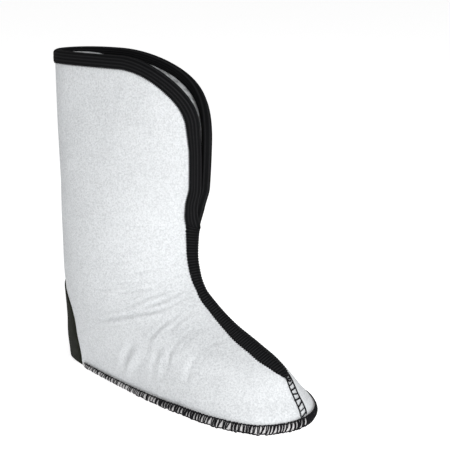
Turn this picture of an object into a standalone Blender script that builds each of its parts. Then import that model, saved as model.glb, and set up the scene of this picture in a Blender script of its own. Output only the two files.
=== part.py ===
"""Felt liner of a winter boot, for the right foot.

Metres, +Z up, toe towards +X, lateral side towards -Y. The origin is under the
middle of the liner, on the plane that its sole stands on.

The upper, the bindings and the heel patch all come from one form: horizontal
sections, read from two short tables, that run from the heel to the front ridge.
"""

import math

import bmesh
import bpy
import numpy as np
from mathutils import Vector

# Driving sizes of the felt
FOOT_LENGTH = 0.303
BALL_WIDTH = 0.106
INSTEP_HEIGHT = 0.120
COLLAR_HEIGHT = 0.3215
SHAFT_DEPTH = 0.186
SHAFT_WIDTH = 0.092
FELT_THICKNESS = 0.0060

# Slit down the front of the shaft, and the round corners above it, of which the
# medial one falls away further
SLIT_FOOT_HEIGHT = 0.166
SLIT_SETBACK = 0.0113
SLIT_OPENING_HEIGHT = 0.036
SLIT_GAP = 0.0044
LATERAL_CORNER_LENGTH = 0.075
LATERAL_CORNER_HEIGHT = 0.059
MEDIAL_CORNER_LENGTH = 0.140
MEDIAL_CORNER_HEIGHT = 0.075

# Sole and its stitched edge
SOLE_EDGE_HEEL = 0.0052
SOLE_EDGE_TOE = 0.0085
EDGE_PROUD = 0.0025
TOE_LIFT = 0.0062
ARCH_RISE = 0.0012
TOE_SPRING = 0.0022
UNDERSIDE_INSET = 0.0150

# Knit tape and heel patch
TAPE_THICKNESS = 0.0015
COLLAR_TAPE_WIDTH = 0.0100
SLIT_TAPE_WIDTH = 0.0068
VAMP_TAPE_WIDTH = 0.0086
VAMP_TAPE_END = 0.0455
PATCH_THICKNESS = 0.0013
PATCH_HEIGHT = 0.0970
PATCH_REACH = 0.0430
TOE_SEAM_RISE = 0.0012
TOE_SEAM_WIDTH = 0.0035

# Gap between pieces that meet, and how far cutters reach past what they cut
CLEARANCE = 0.0003
CUT_MARGIN = 0.0120

# Fineness: columns from heel to toe on each side, the tallest row of faces, steps
# along the outlines of the cutters, and the steps that slopes are measured over
COLUMNS = 26
TALLEST_ROW = 0.022
EDGE_STEPS = 12
JOINT_STEPS = 24
BAND_STEPS = 22
SHARE_STEP = 0.002
HEIGHT_STEP = 0.001
SHARP_ANGLE = 40.0

# Both tables of sections: back and front are shares of the depth, heel, waist and
# ball are half widths as shares of the width, nose says how pointed the front is.
SECTION_COLUMNS = ("rise", "back", "front", "heel", "waist", "ball", "nose")

# Foot sections, of FOOT_LENGTH and BALL_WIDTH: rise is a share of INSTEP_HEIGHT
FOOT_SECTIONS = (
    (-0.10, 0.014, 1.003, 0.225, 0.386, 0.506, 1.05),
    (0.00, 0.014, 1.003, 0.225, 0.386, 0.506, 1.05),
    (0.09, 0.011, 1.002, 0.235, 0.390, 0.506, 1.05),
    (0.23, 0.013, 0.974, 0.270, 0.400, 0.466, 1.28),
    (0.34, 0.018, 0.951, 0.295, 0.410, 0.420, 1.50),
    (0.40, 0.020, 0.937, 0.300, 0.415, 0.397, 1.72),
    (0.45, 0.021, 0.912, 0.303, 0.418, 0.383, 1.92),
    (0.53, 0.022, 0.850, 0.308, 0.424, 0.360, 2.05),
    (0.65, 0.023, 0.748, 0.312, 0.430, 0.335, 2.10),
    (0.78, 0.024, 0.668, 0.316, 0.436, 0.318, 2.10),
    (0.89, 0.024, 0.618, 0.318, 0.438, 0.312, 2.10),
)

# Shaft sections, of SHAFT_DEPTH and SHAFT_WIDTH: rise is a share of the way from
# INSTEP_HEIGHT to COLLAR_HEIGHT
SHAFT_SECTIONS = (
    (0.00, 0.040, 0.970, 0.366, 0.506, 0.360, 2.10),
    (0.10, 0.041, 0.950, 0.368, 0.508, 0.362, 2.10),
    (0.20, 0.041, 0.957, 0.372, 0.502, 0.362, 2.10),
    (0.32, 0.040, 1.016, 0.376, 0.492, 0.342, 2.05),
    (0.42, 0.036, 1.060, 0.376, 0.476, 0.322, 2.00),
    (0.62, 0.027, 1.068, 0.370, 0.440, 0.318, 1.95),
    (0.80, 0.019, 1.064, 0.354, 0.402, 0.322, 1.85),
    (1.00, 0.010, 1.056, 0.335, 0.380, 0.335, 1.70),
    (1.10, 0.006, 1.052, 0.330, 0.376, 0.337, 1.68),
)

# Shares of a section's depth at which its heel, waist and ball widths are taken
STATIONS = (0.12, 0.42, 0.72)

# The lateral side is fuller at the ball, and the medial side is straighter
LATERAL_FULLNESS = (1.00, 1.00, 1.04)
MEDIAL_FULLNESS = (1.00, 0.94, 0.98)

# Stitched edge of the sole: share is of FOOT_LENGTH, lift above the floor is of
# TOE_LIFT, and edge is the way from its thickness at the heel to that at the toe.
EDGE_COLUMNS = ("share", "lift", "edge")
EDGE_LINE = (
    (-0.05, 0.80, 0.00),
    (0.20, 0.62, 0.00),
    (0.40, 0.40, 0.25),
    (0.58, 0.60, 0.55),
    (0.72, 0.88, 0.85),
    (0.86, 0.80, 1.00),
    (0.96, 0.40, 1.00),
    (1.05, 0.30, 1.00),
)

# Underside of the sole: the arch's middle, spread and end, and where the toe
# spring starts, as shares of FOOT_LENGTH
ARCH_MIDDLE = 0.44
ARCH_SPREAD = 0.085
ARCH_END = 0.17
SPRING_START = 0.80

# The sole's edge is fuller at mid height, and its shoulder lies between the two
EDGE_FULLNESS = 1.35
SHOULDER_SHARE = 0.35

# Where the sole's edge comes out of the heel patch and stands fully proud
RAMP_START = PATCH_REACH + 2.0 * CLEARANCE
RAMP_END = RAMP_START + 2.0 * EDGE_PROUD

# Front edge of the heel patch: forward is a share of PATCH_REACH, up of PATCH_HEIGHT
PATCH_COLUMNS = ("forward", "up")
PATCH_EDGE = (
    (1.00, 0.30),
    (0.97, 0.48),
    (0.88, 0.67),
    (0.62, 0.84),
    (0.00, 1.00),
)
PATCH_FOOT_FORWARD = 0.93

# Side view of the vamp tape: up is a share of the way from its end to the slit's foot,
# wide of VAMP_TAPE_WIDTH. On the vamp the tape leans outwards, so less of it shows.
VAMP_TAPE_COLUMNS = ("up", "wide")
VAMP_TAPE_LINE = (
    (0.00, 0.16),
    (0.05, 0.38),
    (0.15, 0.58),
    (0.40, 0.61),
    (0.52, 0.63),
    (0.63, 0.76),
    (0.75, 0.81),
    (0.87, 0.88),
    (1.00, 1.00),
)

FELT_ROUGHNESS = 0.95
KNIT_ROUGHNESS = 0.75
PATCH_ROUGHNESS = 0.85
FELT_WHITE = (0.86, 0.87, 0.87, 1.0)
FELT_SOLE = (0.72, 0.72, 0.71, 1.0)
KNIT_BLACK = (0.018, 0.018, 0.020, 1.0)
PATCH_BLACK = (0.022, 0.024, 0.021, 1.0)


def smooth_column(levels, values, level):
    """Read a table's column at a level, on a curve with no overshoot."""
    count = len(levels)
    slopes = [(values[i + 1] - values[i]) / (levels[i + 1] - levels[i]) for i in range(count - 1)]
    tangents = [slopes[0]]
    for before, after in zip(slopes, slopes[1:]):
        same_way = before * after > 0.0
        tangents.append(2.0 * before * after / (before + after) if same_way else 0.0)
    tangents.append(slopes[-1])
    level = min(max(level, levels[0]), levels[-1])
    row = max(i for i in range(count - 1) if levels[i] <= level)
    span = levels[row + 1] - levels[row]
    u = (level - levels[row]) / span
    start, end = values[row], values[row + 1]
    return (
        start * (1 + 2 * u) * (1 - u) ** 2
        + end * u * u * (3 - 2 * u)
        + span * u * (1 - u) * (tangents[row] * (1 - u) - tangents[row + 1] * u)
    )


def scaled_sections(table, base, rise, depth, width):
    """Turn a table of shares into sections in metres."""
    sections = []
    for row in table:
        share = dict(zip(SECTION_COLUMNS, row))
        section = {"height": base + share["rise"] * rise, "nose": share["nose"]}
        for name in ("back", "front"):
            section[name] = share[name] * depth
        for name in ("heel", "waist", "ball"):
            section[name] = share[name] * width
        sections.append(section)
    return sections


SECTIONS = scaled_sections(FOOT_SECTIONS, 0.0, INSTEP_HEIGHT, FOOT_LENGTH, BALL_WIDTH)
SECTIONS += scaled_sections(
    SHAFT_SECTIONS, INSTEP_HEIGHT, COLLAR_HEIGHT - INSTEP_HEIGHT, SHAFT_DEPTH, SHAFT_WIDTH)
HEIGHTS = [section["height"] for section in SECTIONS]


def section_at(height):
    """The section at any height, as a dictionary of lengths."""
    return {
        name: smooth_column(HEIGHTS, [section[name] for section in SECTIONS], height)
        for name in SECTION_COLUMNS[1:]
    }


def half_width(section, share, side):
    """Distance from the middle plane at a share of the depth, on one side.

    A sine closes both ends, a power of it sharpens the front, and a quadratic
    through the three stations gives the fullness between them.
    """
    fullness = LATERAL_FULLNESS if side < 0 else MEDIAL_FULLNESS
    widths = (section["heel"], section["waist"], section["ball"])

    def closing(at):
        sine = 2.0 * math.sqrt(max(at * (1.0 - at), 0.0))
        return sine ** (1.0 + (section["nose"] - 1.0) * at * at)

    total = 0.0
    for i, station in enumerate(STATIONS):
        weight = 1.0
        for j, other in enumerate(STATIONS):
            if i != j:
                weight *= (share - other) / (station - other)
        total += weight * widths[i] * fullness[i] / closing(station)
    return max(total, 0.0) * closing(share)


def form_point(height, share, side):
    """A point of the upper's outer form, before any seam is raised on it."""
    section = section_at(height)
    depth = section["front"] - section["back"]
    x = section["back"] + share * depth
    return Vector((x, side * half_width(section, share, side), height))


def form_normal(height, share, side):
    """The outward direction of the form, from its slopes along and up."""
    before = max(share - SHARE_STEP, 0.0)
    after = min(share + SHARE_STEP, 1.0)
    if share == 0.0:
        along = form_point(height, after, 1) - form_point(height, after, -1)
    elif share == 1.0:
        along = form_point(height, before, -1) - form_point(height, before, 1)
    else:
        along = (form_point(height, after, side) - form_point(height, before, side)) * side
    above = form_point(height + HEIGHT_STEP, share, side)
    up = above - form_point(height - HEIGHT_STEP, share, side)
    normal = up.cross(along)
    if share in (0.0, 1.0):
        normal.y = 0.0
    return normal.normalized()


def toe_seam(height, share):
    """How far the stitched toe seam stands out of the wall at a point."""
    section = section_at(height)
    distance = (1.0 - share) * (section["front"] - section["back"])
    across = max(0.0, 1.0 - (distance / TOE_SEAM_WIDTH) ** 2)
    start = VAMP_TAPE_END - TOE_SEAM_WIDTH
    below_tape = min(max((start - height) / TOE_SEAM_WIDTH, 0.0), 1.0)
    return TOE_SEAM_RISE * across * below_tape


def offset_point(height, share, side, offset):
    """A point of the form moved out by an offset, or in by a negative one."""
    point = form_point(height, share, side) + form_normal(height, share, side) * offset
    if share in (0.0, 1.0):
        point.y = 0.0
    return point


def ridge_share(height, offset):
    """The share at which an inward offset meets the middle plane at the front."""
    low, high = 0.5, 1.0
    for _ in range(22):
        middle = 0.5 * (low + high)
        reach = offset_point(height, middle, 1, offset).y - offset_point(height, middle, -1, offset).y
        if reach > 0.0:
            low = middle
        else:
            high = middle
    return low


def form_ring(height, offset, seam=False):
    """A closed ring of points round the form: lateral side out, medial side back."""
    last = ridge_share(height, offset) if offset < 0.0 else 1.0
    shares = [last * 0.5 * (1.0 - math.cos(math.pi * i / COLUMNS)) for i in range(COLUMNS + 1)]
    ring = []
    for side in (-1, 1):
        run = shares[:-1] if side < 0 else shares[:0:-1]
        for share in run:
            rise = toe_seam(height, share) if seam else 0.0
            point = offset_point(height, share, side, offset + rise)
            ring.append(point)
    if offset < 0.0:
        ring[COLUMNS].y = 0.0
    return ring


def row_heights(low, high):
    """Heights of the rings: closer together where the sections change fast."""
    marks = [height for height in HEIGHTS if low < height < high]
    marks = [low] + marks + [high]
    rows = []
    for start, end in zip(marks, marks[1:]):
        parts = max(1, round((end - start) / TALLEST_ROW))
        rows.extend(start + (end - start) * i / parts for i in range(parts))
    return rows + [high]


def new_object(name, mesh, collection, material=None):
    """Link a mesh as an object, shaded smooth but for its sharp edges."""
    piece = bpy.data.objects.new(name, mesh)
    collection.objects.link(piece)
    if material:
        mesh.materials.append(material)
        mesh.shade_smooth()
        mesh.set_sharp_from_angle(angle=math.radians(SHARP_ANGLE))
    return piece


def loft(rings, closed):
    """Join rings of equal length and cap open ends.

    Every quad is split from low to high the same way round, whether the rings rise
    or fall, so that walls that lie against each other keep their gap.
    """
    mesh = bpy.data.meshes.new("loft")
    bm = bmesh.new()
    rows = [[bm.verts.new(point) for point in ring] for ring in rings]
    pairs = list(zip(rows, rows[1:]))
    if closed:
        pairs.append((rows[-1], rows[0]))
    for lower, upper in pairs:
        count = len(lower)
        falling = lower[0].co.z > upper[0].co.z
        for i in range(count):
            j = (i + 1) % count
            if falling:
                bm.faces.new((lower[i], lower[j], upper[i]))
                bm.faces.new((lower[j], upper[j], upper[i]))
            else:
                bm.faces.new((lower[i], lower[j], upper[j]))
                bm.faces.new((lower[i], upper[j], upper[i]))
    if not closed:
        cap_across(bm, rows[0])
        cap_across(bm, rows[-1])
    bmesh.ops.recalc_face_normals(bm, faces=bm.faces)
    bm.to_mesh(mesh)
    bm.free()
    return mesh


def cap_across(bm, ring):
    """Close a ring with strips that run from the lateral to the medial side."""
    count = len(ring)
    half = count // 2
    bm.faces.new((ring[0], ring[1], ring[count - 1]))
    for i in range(1, half - 1):
        bm.faces.new((ring[i], ring[i + 1], ring[count - i - 1], ring[count - i]))
    bm.faces.new((ring[half - 1], ring[half], ring[half + 1]))


def form_wall(outer, inner, low, high, seam=False):
    """A tube round the whole foot and shaft, between two offsets of the form."""
    rows = row_heights(low, high)
    rings = [form_ring(height, outer, seam) for height in rows]
    rings += [form_ring(height, inner) for height in reversed(rows)]
    return loft(rings, closed=True)


def prism(name, outline, plane, low, high, collection):
    """A cutter: an outline in the XZ or YZ plane, extruded along the other axis."""
    mesh = bpy.data.meshes.new(name)
    bm = bmesh.new()
    if plane == "XZ":
        start = [Vector((a, low, b)) for a, b in outline]
        way = Vector((0.0, high - low, 0.0))
    else:
        start = [Vector((low, a, b)) for a, b in outline]
        way = Vector((high - low, 0.0, 0.0))
    face = bm.faces.new([bm.verts.new(point) for point in start])
    grown = bmesh.ops.extrude_face_region(bm, geom=[face])
    moved = [item for item in grown["geom"] if isinstance(item, bmesh.types.BMVert)]
    bmesh.ops.translate(bm, verts=moved, vec=way)
    bmesh.ops.recalc_face_normals(bm, faces=bm.faces)
    bm.to_mesh(mesh)
    bm.free()
    cutter = new_object(name, mesh, collection)
    cutter.hide_render = True
    cutter.display_type = "WIRE"
    return cutter


def boolean(piece, tool, operation="DIFFERENCE"):
    """Cut a piece with a cutter, or keep what is common to both."""
    modifier = piece.modifiers.new(tool.name, "BOOLEAN")
    modifier.operation = operation
    modifier.solver = "EXACT"
    modifier.object = tool


def shaft_front(height):
    """Where the felt's front edge lies beside the slit, which opens out of the ridge."""
    opened = min(max((height - SLIT_FOOT_HEIGHT) / SLIT_OPENING_HEIGHT, 0.0), 1.0)
    setback = SLIT_SETBACK * opened * (2.0 - opened)
    return section_at(height)["front"] - setback


def corner_size(side):
    """Length and height of the round corner of one panel."""
    if side < 0:
        return LATERAL_CORNER_LENGTH, LATERAL_CORNER_HEIGHT
    return MEDIAL_CORNER_LENGTH, MEDIAL_CORNER_HEIGHT


def edge_profile(side, forward, upward, foot):
    """Side view of a panel's edge: up the slit, round the corner, back along the collar.

    The line starts at a foot height, and it is moved forward and upward.
    """
    long, tall = corner_size(side)
    bend = COLLAR_HEIGHT - tall
    centre = shaft_front(bend) - long
    straight = bend - SLIT_FOOT_HEIGHT
    marks = [SLIT_FOOT_HEIGHT + straight * i / EDGE_STEPS for i in range(EDGE_STEPS)]
    heights = [foot] + [mark for mark in marks if mark > foot]
    points = [(shaft_front(height) + forward, height) for height in heights]
    for i in range(EDGE_STEPS + 1):
        turn = 0.5 * math.pi * i / EDGE_STEPS
        x = centre + (long + forward) * math.cos(turn)
        points.append((x, bend + (tall + upward) * math.sin(turn)))
    points.append((-CUT_MARGIN, COLLAR_HEIGHT + upward))
    return points


def beyond_edge(side, outward, foot):
    """Outline of all that lies in front of and above a panel's edge."""
    high = COLLAR_HEIGHT + 2.0 * CUT_MARGIN
    line = edge_profile(side, outward, outward, foot)
    return [(FOOT_LENGTH, foot)] + line + [(-CUT_MARGIN, high), (FOOT_LENGTH, high)]


def behind_edge(side, foot):
    """Outline of all that lies behind the tape along a panel's edge, or below its foot."""
    low = -CUT_MARGIN
    line = edge_profile(side, -SLIT_TAPE_WIDTH, -COLLAR_TAPE_WIDTH, foot)
    return [line[0], (FOOT_LENGTH, foot), (FOOT_LENGTH, low), (low, low)] + line[:0:-1]


def cut_edge(piece, name, outward, foot, cutters):
    """Cut both panels to the lateral edge, and the medial panel to its lower corner.

    The medial cutter starts beside the middle plane and ahead of the heel, so its end
    faces pass through no felt.
    """
    wide = 0.5 * BALL_WIDTH + CUT_MARGIN
    outline = beyond_edge(-1, outward, foot)
    boolean(piece, prism(name, outline, "XZ", -wide, wide, cutters))
    start = 0.5 * (shaft_front(COLLAR_HEIGHT) - MEDIAL_CORNER_LENGTH)
    outline = [(max(x, start), z) for x, z in beyond_edge(1, outward, foot)]
    boolean(piece, prism(name + "_medial", outline, "XZ", 0.0, wide, cutters))


def keep_edge(piece, name, foot, cutters):
    """Cut away all behind the tape on both panels, down to the medial one's lower corner."""
    wide = 0.5 * BALL_WIDTH + CUT_MARGIN
    boolean(piece, prism(name, behind_edge(1, foot), "XZ", -wide, wide, cutters))
    start = 0.5 * (shaft_front(COLLAR_HEIGHT) - MEDIAL_CORNER_LENGTH)
    outline = [(max(x, start), z) for x, z in behind_edge(-1, foot)]
    boolean(piece, prism(name + "_lateral", outline, "XZ", -wide, 0.0, cutters))


def slit_outline(half_gap, foot):
    """Front view of the slit: two parallel edges that rise from its foot."""
    high = COLLAR_HEIGHT + 2.0 * CUT_MARGIN
    return [(-half_gap, foot), (half_gap, foot), (half_gap, high), (-half_gap, high)]


def edge_row(x):
    """Lift of the sole's edge above the floor and its thickness, at a place along it."""
    line = dict(zip(EDGE_COLUMNS, zip(*EDGE_LINE)))
    lift = smooth_column(line["share"], line["lift"], x / FOOT_LENGTH) * TOE_LIFT
    way = smooth_column(line["share"], line["edge"], x / FOOT_LENGTH)
    return lift, SOLE_EDGE_HEEL + way * (SOLE_EDGE_TOE - SOLE_EDGE_HEEL)


def joint_height(x):
    """Top of the sole's edge, where the upper is sewn on."""
    lift, edge = edge_row(x)
    return lift + edge


def underside_height(x):
    """Height of the sole's underside: flat heel and ball, a low arch and the toe spring."""
    share = x / FOOT_LENGTH
    away = abs(share - ARCH_MIDDLE)
    arch = ARCH_RISE * math.exp(-((away / ARCH_SPREAD) ** 2)) if away < ARCH_END else 0.0
    spring = max(0.0, share - SPRING_START) / (1.0 - SPRING_START)
    return arch + TOE_SPRING * spring ** 2


def below_joint(gap):
    """Outline of all that lies under the seam between upper and sole."""
    start, end = -CUT_MARGIN, FOOT_LENGTH + CUT_MARGIN
    line = []
    for i in range(JOINT_STEPS + 1):
        x = start + (end - start) * i / JOINT_STEPS
        line.append((x, joint_height(x) + gap))
    return line + [(end, -2.0 * CUT_MARGIN), (start, -2.0 * CUT_MARGIN)]


def patch_ramp(x):
    """0 under the heel patch and 1 ahead of it, over the width of a stitch."""
    return min(max((x - RAMP_START) / (RAMP_END - RAMP_START), 0.0), 1.0)


def sole_ring(proud, height_of):
    """The sole's outline, moved out by an amount of x, at a height worked out from x."""
    level = SOLE_EDGE_HEEL
    shares = [0.5 * (1.0 - math.cos(math.pi * i / COLUMNS)) for i in range(COLUMNS + 1)]
    shares += [x / section_at(level)["front"] for x in (RAMP_START, RAMP_END)]
    shares.sort()
    ring = []
    for side in (-1, 1):
        for share in shares[:-1] if side < 0 else shares[:0:-1]:
            point = form_point(level, share, side)
            normal = form_normal(level, share, side)
            normal.z = 0.0
            point += normal.normalized() * proud(point.x)
            point.z = height_of(point.x)
            ring.append(point)
    return ring


def build_sole(collection, material):
    """The felt sole: a stitched edge that stands proud, and a rounded underside."""
    def edge(x):
        return EDGE_PROUD * patch_ramp(x)

    def edge_middle(x):
        return EDGE_FULLNESS * edge(x)

    def top(x):
        return joint_height(x) - 0.5 * CLEARANCE

    def middle(x):
        lift, thick = edge_row(x)
        return lift + 0.5 * thick

    def bottom(x):
        return edge_row(x)[0]

    def shoulder(x):
        return underside_height(x) + SHOULDER_SHARE * (edge_row(x)[0] - underside_height(x))

    rings = [
        sole_ring(edge, top),
        sole_ring(edge_middle, middle),
        sole_ring(edge, bottom),
        sole_ring(lambda x: edge(x) - SHOULDER_SHARE * UNDERSIDE_INSET, shoulder),
        sole_ring(lambda x: -UNDERSIDE_INSET, underside_height),
    ]
    return new_object("sole", loft(rings, closed=False), collection, material)


def build_upper(collection, cutters, material):
    """The felt wall, open at the collar, down the front slit and underneath."""
    mesh = form_wall(0.0, -FELT_THICKNESS, 0.0, COLLAR_HEIGHT + CUT_MARGIN, seam=True)
    upper = new_object("upper", mesh, collection, material)
    wide = 0.5 * BALL_WIDTH + CUT_MARGIN
    cut_edge(upper, "cut_collar", 0.0, SLIT_FOOT_HEIGHT + CLEARANCE, cutters)
    slit = slit_outline(0.5 * SLIT_GAP, SLIT_FOOT_HEIGHT)
    boolean(upper, prism("cut_slit", slit, "YZ", 0.5 * SHAFT_DEPTH, FOOT_LENGTH, cutters))
    boolean(upper, prism("cut_joint", below_joint(0.5 * CLEARANCE), "XZ", -wide, wide, cutters))
    return upper


def build_collar_binding(collection, cutters, material):
    """Knit tape folded over the collar and down both edges of the slit."""
    low = SLIT_FOOT_HEIGHT - CUT_MARGIN
    high = COLLAR_HEIGHT + CUT_MARGIN
    foot = SLIT_FOOT_HEIGHT + 2.0 * CLEARANCE
    over = CLEARANCE + TAPE_THICKNESS
    front = 0.5 * SHAFT_DEPTH
    tape = new_object(
        "collar_binding", form_wall(over, -FELT_THICKNESS - over, low, high), collection, material)
    cut_edge(tape, "cut_tape_outside", over, low, cutters)
    keep_edge(tape, "cut_tape_inside", foot, cutters)
    narrow = slit_outline(CLEARANCE, low - CLEARANCE)
    boolean(tape, prism("cut_tape_slit", narrow, "YZ", front, FOOT_LENGTH, cutters))
    low -= TAPE_THICKNESS
    felt_mesh = form_wall(CLEARANCE, -FELT_THICKNESS - CLEARANCE, 0.0, high)
    felt = new_object("felt_in_tape", felt_mesh, cutters)
    cut_edge(felt, "cut_felt_outside", CLEARANCE, low - TAPE_THICKNESS, cutters)
    slit = slit_outline(0.5 * SLIT_GAP - CLEARANCE, low - CLEARANCE)
    boolean(felt, prism("cut_felt_slit", slit, "YZ", front, FOOT_LENGTH, cutters))
    felt.hide_render = True
    felt.display_type = "WIRE"
    boolean(tape, felt)
    return tape


def ridge_band():
    """Side view of the strip along the front ridge that the vamp tape covers."""
    top = SLIT_FOOT_HEIGHT + CLEARANCE
    line = dict(zip(VAMP_TAPE_COLUMNS, zip(*VAMP_TAPE_LINE)))
    inner, outer = [], []
    for i in range(BAND_STEPS + 1):
        height = VAMP_TAPE_END + (top - VAMP_TAPE_END) * i / BAND_STEPS
        front = section_at(height)["front"]
        ahead = section_at(height + HEIGHT_STEP)["front"] - section_at(height - HEIGHT_STEP)["front"]
        slope = ahead / (2.0 * HEIGHT_STEP)
        across = Vector((-1.0, slope)).normalized()
        wide = smooth_column(line["up"], line["wide"], i / BAND_STEPS)
        behind = across * VAMP_TAPE_WIDTH * wide
        inner.append((front + behind.x, height + behind.y))
        outer.append((front - across.x * CUT_MARGIN, height - across.y * CUT_MARGIN))
    inner[-1] = (inner[-1][0], top)
    outer[-1] = (outer[-1][0], top)
    return inner + outer[::-1]


def build_vamp_binding(collection, cutters, material):
    """The same tape laid over the front ridge, from the slit to the toe seam."""
    low = VAMP_TAPE_END - 2.0 * CUT_MARGIN
    mesh = form_wall(CLEARANCE + TAPE_THICKNESS, CLEARANCE, low, SLIT_FOOT_HEIGHT + CUT_MARGIN)
    tape = new_object("vamp_binding", mesh, collection, material)
    wide = 0.5 * BALL_WIDTH
    boolean(tape, prism("keep_ridge", ridge_band(), "XZ", -wide, wide, cutters), "INTERSECT")
    return tape


def build_heel_patch(collection, cutters, material):
    """A pointed patch round the back of the heel, over the sole's edge."""
    top = PATCH_HEIGHT + CUT_MARGIN
    mesh = form_wall(CLEARANCE + PATCH_THICKNESS, CLEARANCE, -0.5 * CUT_MARGIN, top)
    patch = new_object("heel_patch", mesh, collection, material)
    wide = 0.5 * BALL_WIDTH
    low = edge_row(0.0)[0]
    outline = [(-CUT_MARGIN, low), (PATCH_FOOT_FORWARD * PATCH_REACH, low)]
    for row in PATCH_EDGE:
        share = dict(zip(PATCH_COLUMNS, row))
        outline.append((share["forward"] * PATCH_REACH, share["up"] * PATCH_HEIGHT))
    outline.append((-CUT_MARGIN, PATCH_HEIGHT))
    boolean(patch, prism("keep_heel", outline, "XZ", -wide, wide, cutters), "INTERSECT")
    return patch


def make_material(name, colour, roughness):
    """A plain fabric material."""
    material = bpy.data.materials.new(name)
    material.use_nodes = True
    shader = material.node_tree.nodes["Principled BSDF"]
    shader.inputs["Base Color"].default_value = colour
    shader.inputs["Roughness"].default_value = roughness
    shader.inputs["Metallic"].default_value = 0.0
    material.diffuse_color = colour
    return material


def centre_on_floor(pieces, collection):
    """Hang the pieces on an empty, so that the origin is under their middle."""
    bpy.context.view_layer.update()
    graph = bpy.context.evaluated_depsgraph_get()
    corners = []
    for piece in pieces:
        mesh = piece.evaluated_get(graph).to_mesh()
        places = np.empty(3 * len(mesh.vertices))
        mesh.vertices.foreach_get("co", places)
        places = places.reshape(-1, 3)
        corners.extend((places.min(axis=0), places.max(axis=0)))
        piece.evaluated_get(graph).to_mesh_clear()
    low = np.min(corners, axis=0)
    high = np.max(corners, axis=0)
    base = bpy.data.objects.new("liner_base", None)
    collection.objects.link(base)
    base.location = (-0.5 * (low[0] + high[0]), -0.5 * (low[1] + high[1]), -low[2])
    return base


def main():
    """Clear the scene and build the five pieces."""
    for thing in list(bpy.data.objects):
        bpy.data.objects.remove(thing, do_unlink=True)
    parts = bpy.data.collections.new("winter_boot_liner")
    cutters = bpy.data.collections.new("cutters")
    bpy.context.scene.collection.children.link(parts)
    bpy.context.scene.collection.children.link(cutters)
    felt = make_material("white_felt", FELT_WHITE, FELT_ROUGHNESS)
    knit = make_material("black_knit", KNIT_BLACK, KNIT_ROUGHNESS)
    ribbed = make_material("ribbed_knit", KNIT_BLACK, KNIT_ROUGHNESS)
    under = make_material("sole_felt", FELT_SOLE, FELT_ROUGHNESS)
    cloth = make_material("heel_fabric", PATCH_BLACK, PATCH_ROUGHNESS)
    pieces = [
        build_sole(parts, under),
        build_upper(parts, cutters, felt),
        build_collar_binding(parts, cutters, knit),
        build_vamp_binding(parts, cutters, ribbed),
        build_heel_patch(parts, cutters, cloth),
    ]
    base = centre_on_floor(pieces, parts)
    for thing in pieces + list(cutters.objects):
        thing.parent = base


main()
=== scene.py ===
"""Dressed model of a winter boot's felt liner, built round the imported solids.

Metres, +Z up, toe towards +X, lateral side towards -Y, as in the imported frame.
"""

import logging
import math
from abc import ABC, abstractmethod
from dataclasses import dataclass, field
from enum import Enum
from typing import Any, Callable, Sequence

import bmesh
import bpy
import numpy as np
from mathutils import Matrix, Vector


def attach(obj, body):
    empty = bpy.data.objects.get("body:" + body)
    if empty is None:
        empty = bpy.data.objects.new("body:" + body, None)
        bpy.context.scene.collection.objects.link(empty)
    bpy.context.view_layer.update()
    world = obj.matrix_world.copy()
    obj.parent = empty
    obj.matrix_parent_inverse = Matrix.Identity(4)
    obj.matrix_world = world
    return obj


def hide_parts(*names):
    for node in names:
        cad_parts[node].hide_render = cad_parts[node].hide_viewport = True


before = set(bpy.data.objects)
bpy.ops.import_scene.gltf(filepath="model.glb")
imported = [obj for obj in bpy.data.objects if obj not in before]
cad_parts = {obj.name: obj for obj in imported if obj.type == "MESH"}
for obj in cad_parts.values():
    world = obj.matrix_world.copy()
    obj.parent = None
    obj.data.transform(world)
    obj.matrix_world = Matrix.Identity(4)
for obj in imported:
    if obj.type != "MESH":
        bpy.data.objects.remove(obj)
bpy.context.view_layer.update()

BODY = "root"
PHOTO_SIDE = 450
TURN = 2.0 * math.pi
MM_PER_METRE = 1000.0
TINY = 1e-6
ROUNDING = 1e-9
WELD = 2e-5

LOG = logging.getLogger("liner")

Array = np.ndarray
Place = Callable[[Array, Array], Array]


class Slot(Enum):
    """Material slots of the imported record."""

    SOLE = "sole_felt"
    FELT = "white_felt"
    KNIT = "black_knit"
    RIBBED = "ribbed_knit"
    PATCH = "heel_fabric"


def ramp(value: Array, start: float, end: float) -> Array:
    """Rise smoothly from 0 at start to 1 at end.

    Args:
        value: Where to read the ramp.
        start: The value at which it leaves 0.
        end: The value at which it reaches 1.

    Returns:
        The height of the ramp, between 0 and 1.
    """
    share = np.clip((np.asarray(value, float) - start) / (end - start), 0.0, 1.0)
    return share * share * (3.0 - 2.0 * share)


def rounded(share: Array) -> Array:
    """Rise of a quarter circle from 0 to 1, flat beyond 1."""
    return np.sqrt(np.clip(1.0 - (1.0 - np.clip(share, 0.0, 1.0)) ** 2, 0.0, 1.0))


def there_and_back(share: Array) -> tuple[Array, Array]:
    """Split a way round a flat piece into its upper face and its lower one.

    Args:
        share: Share of the way round, from 0 to 1.

    Returns:
        Whether each place is on the upper face, and where it lies across, from -1 to 1.
    """
    top = share < 0.5
    return top, np.where(top, 4.0 * share - 1.0, 3.0 - 4.0 * share)


def run_lengths(points: Array) -> Array:
    """Lengths along a row of points, from the first one on."""
    return np.concatenate([[0.0], np.cumsum(np.linalg.norm(np.diff(points, axis=0), axis=1))])


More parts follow.
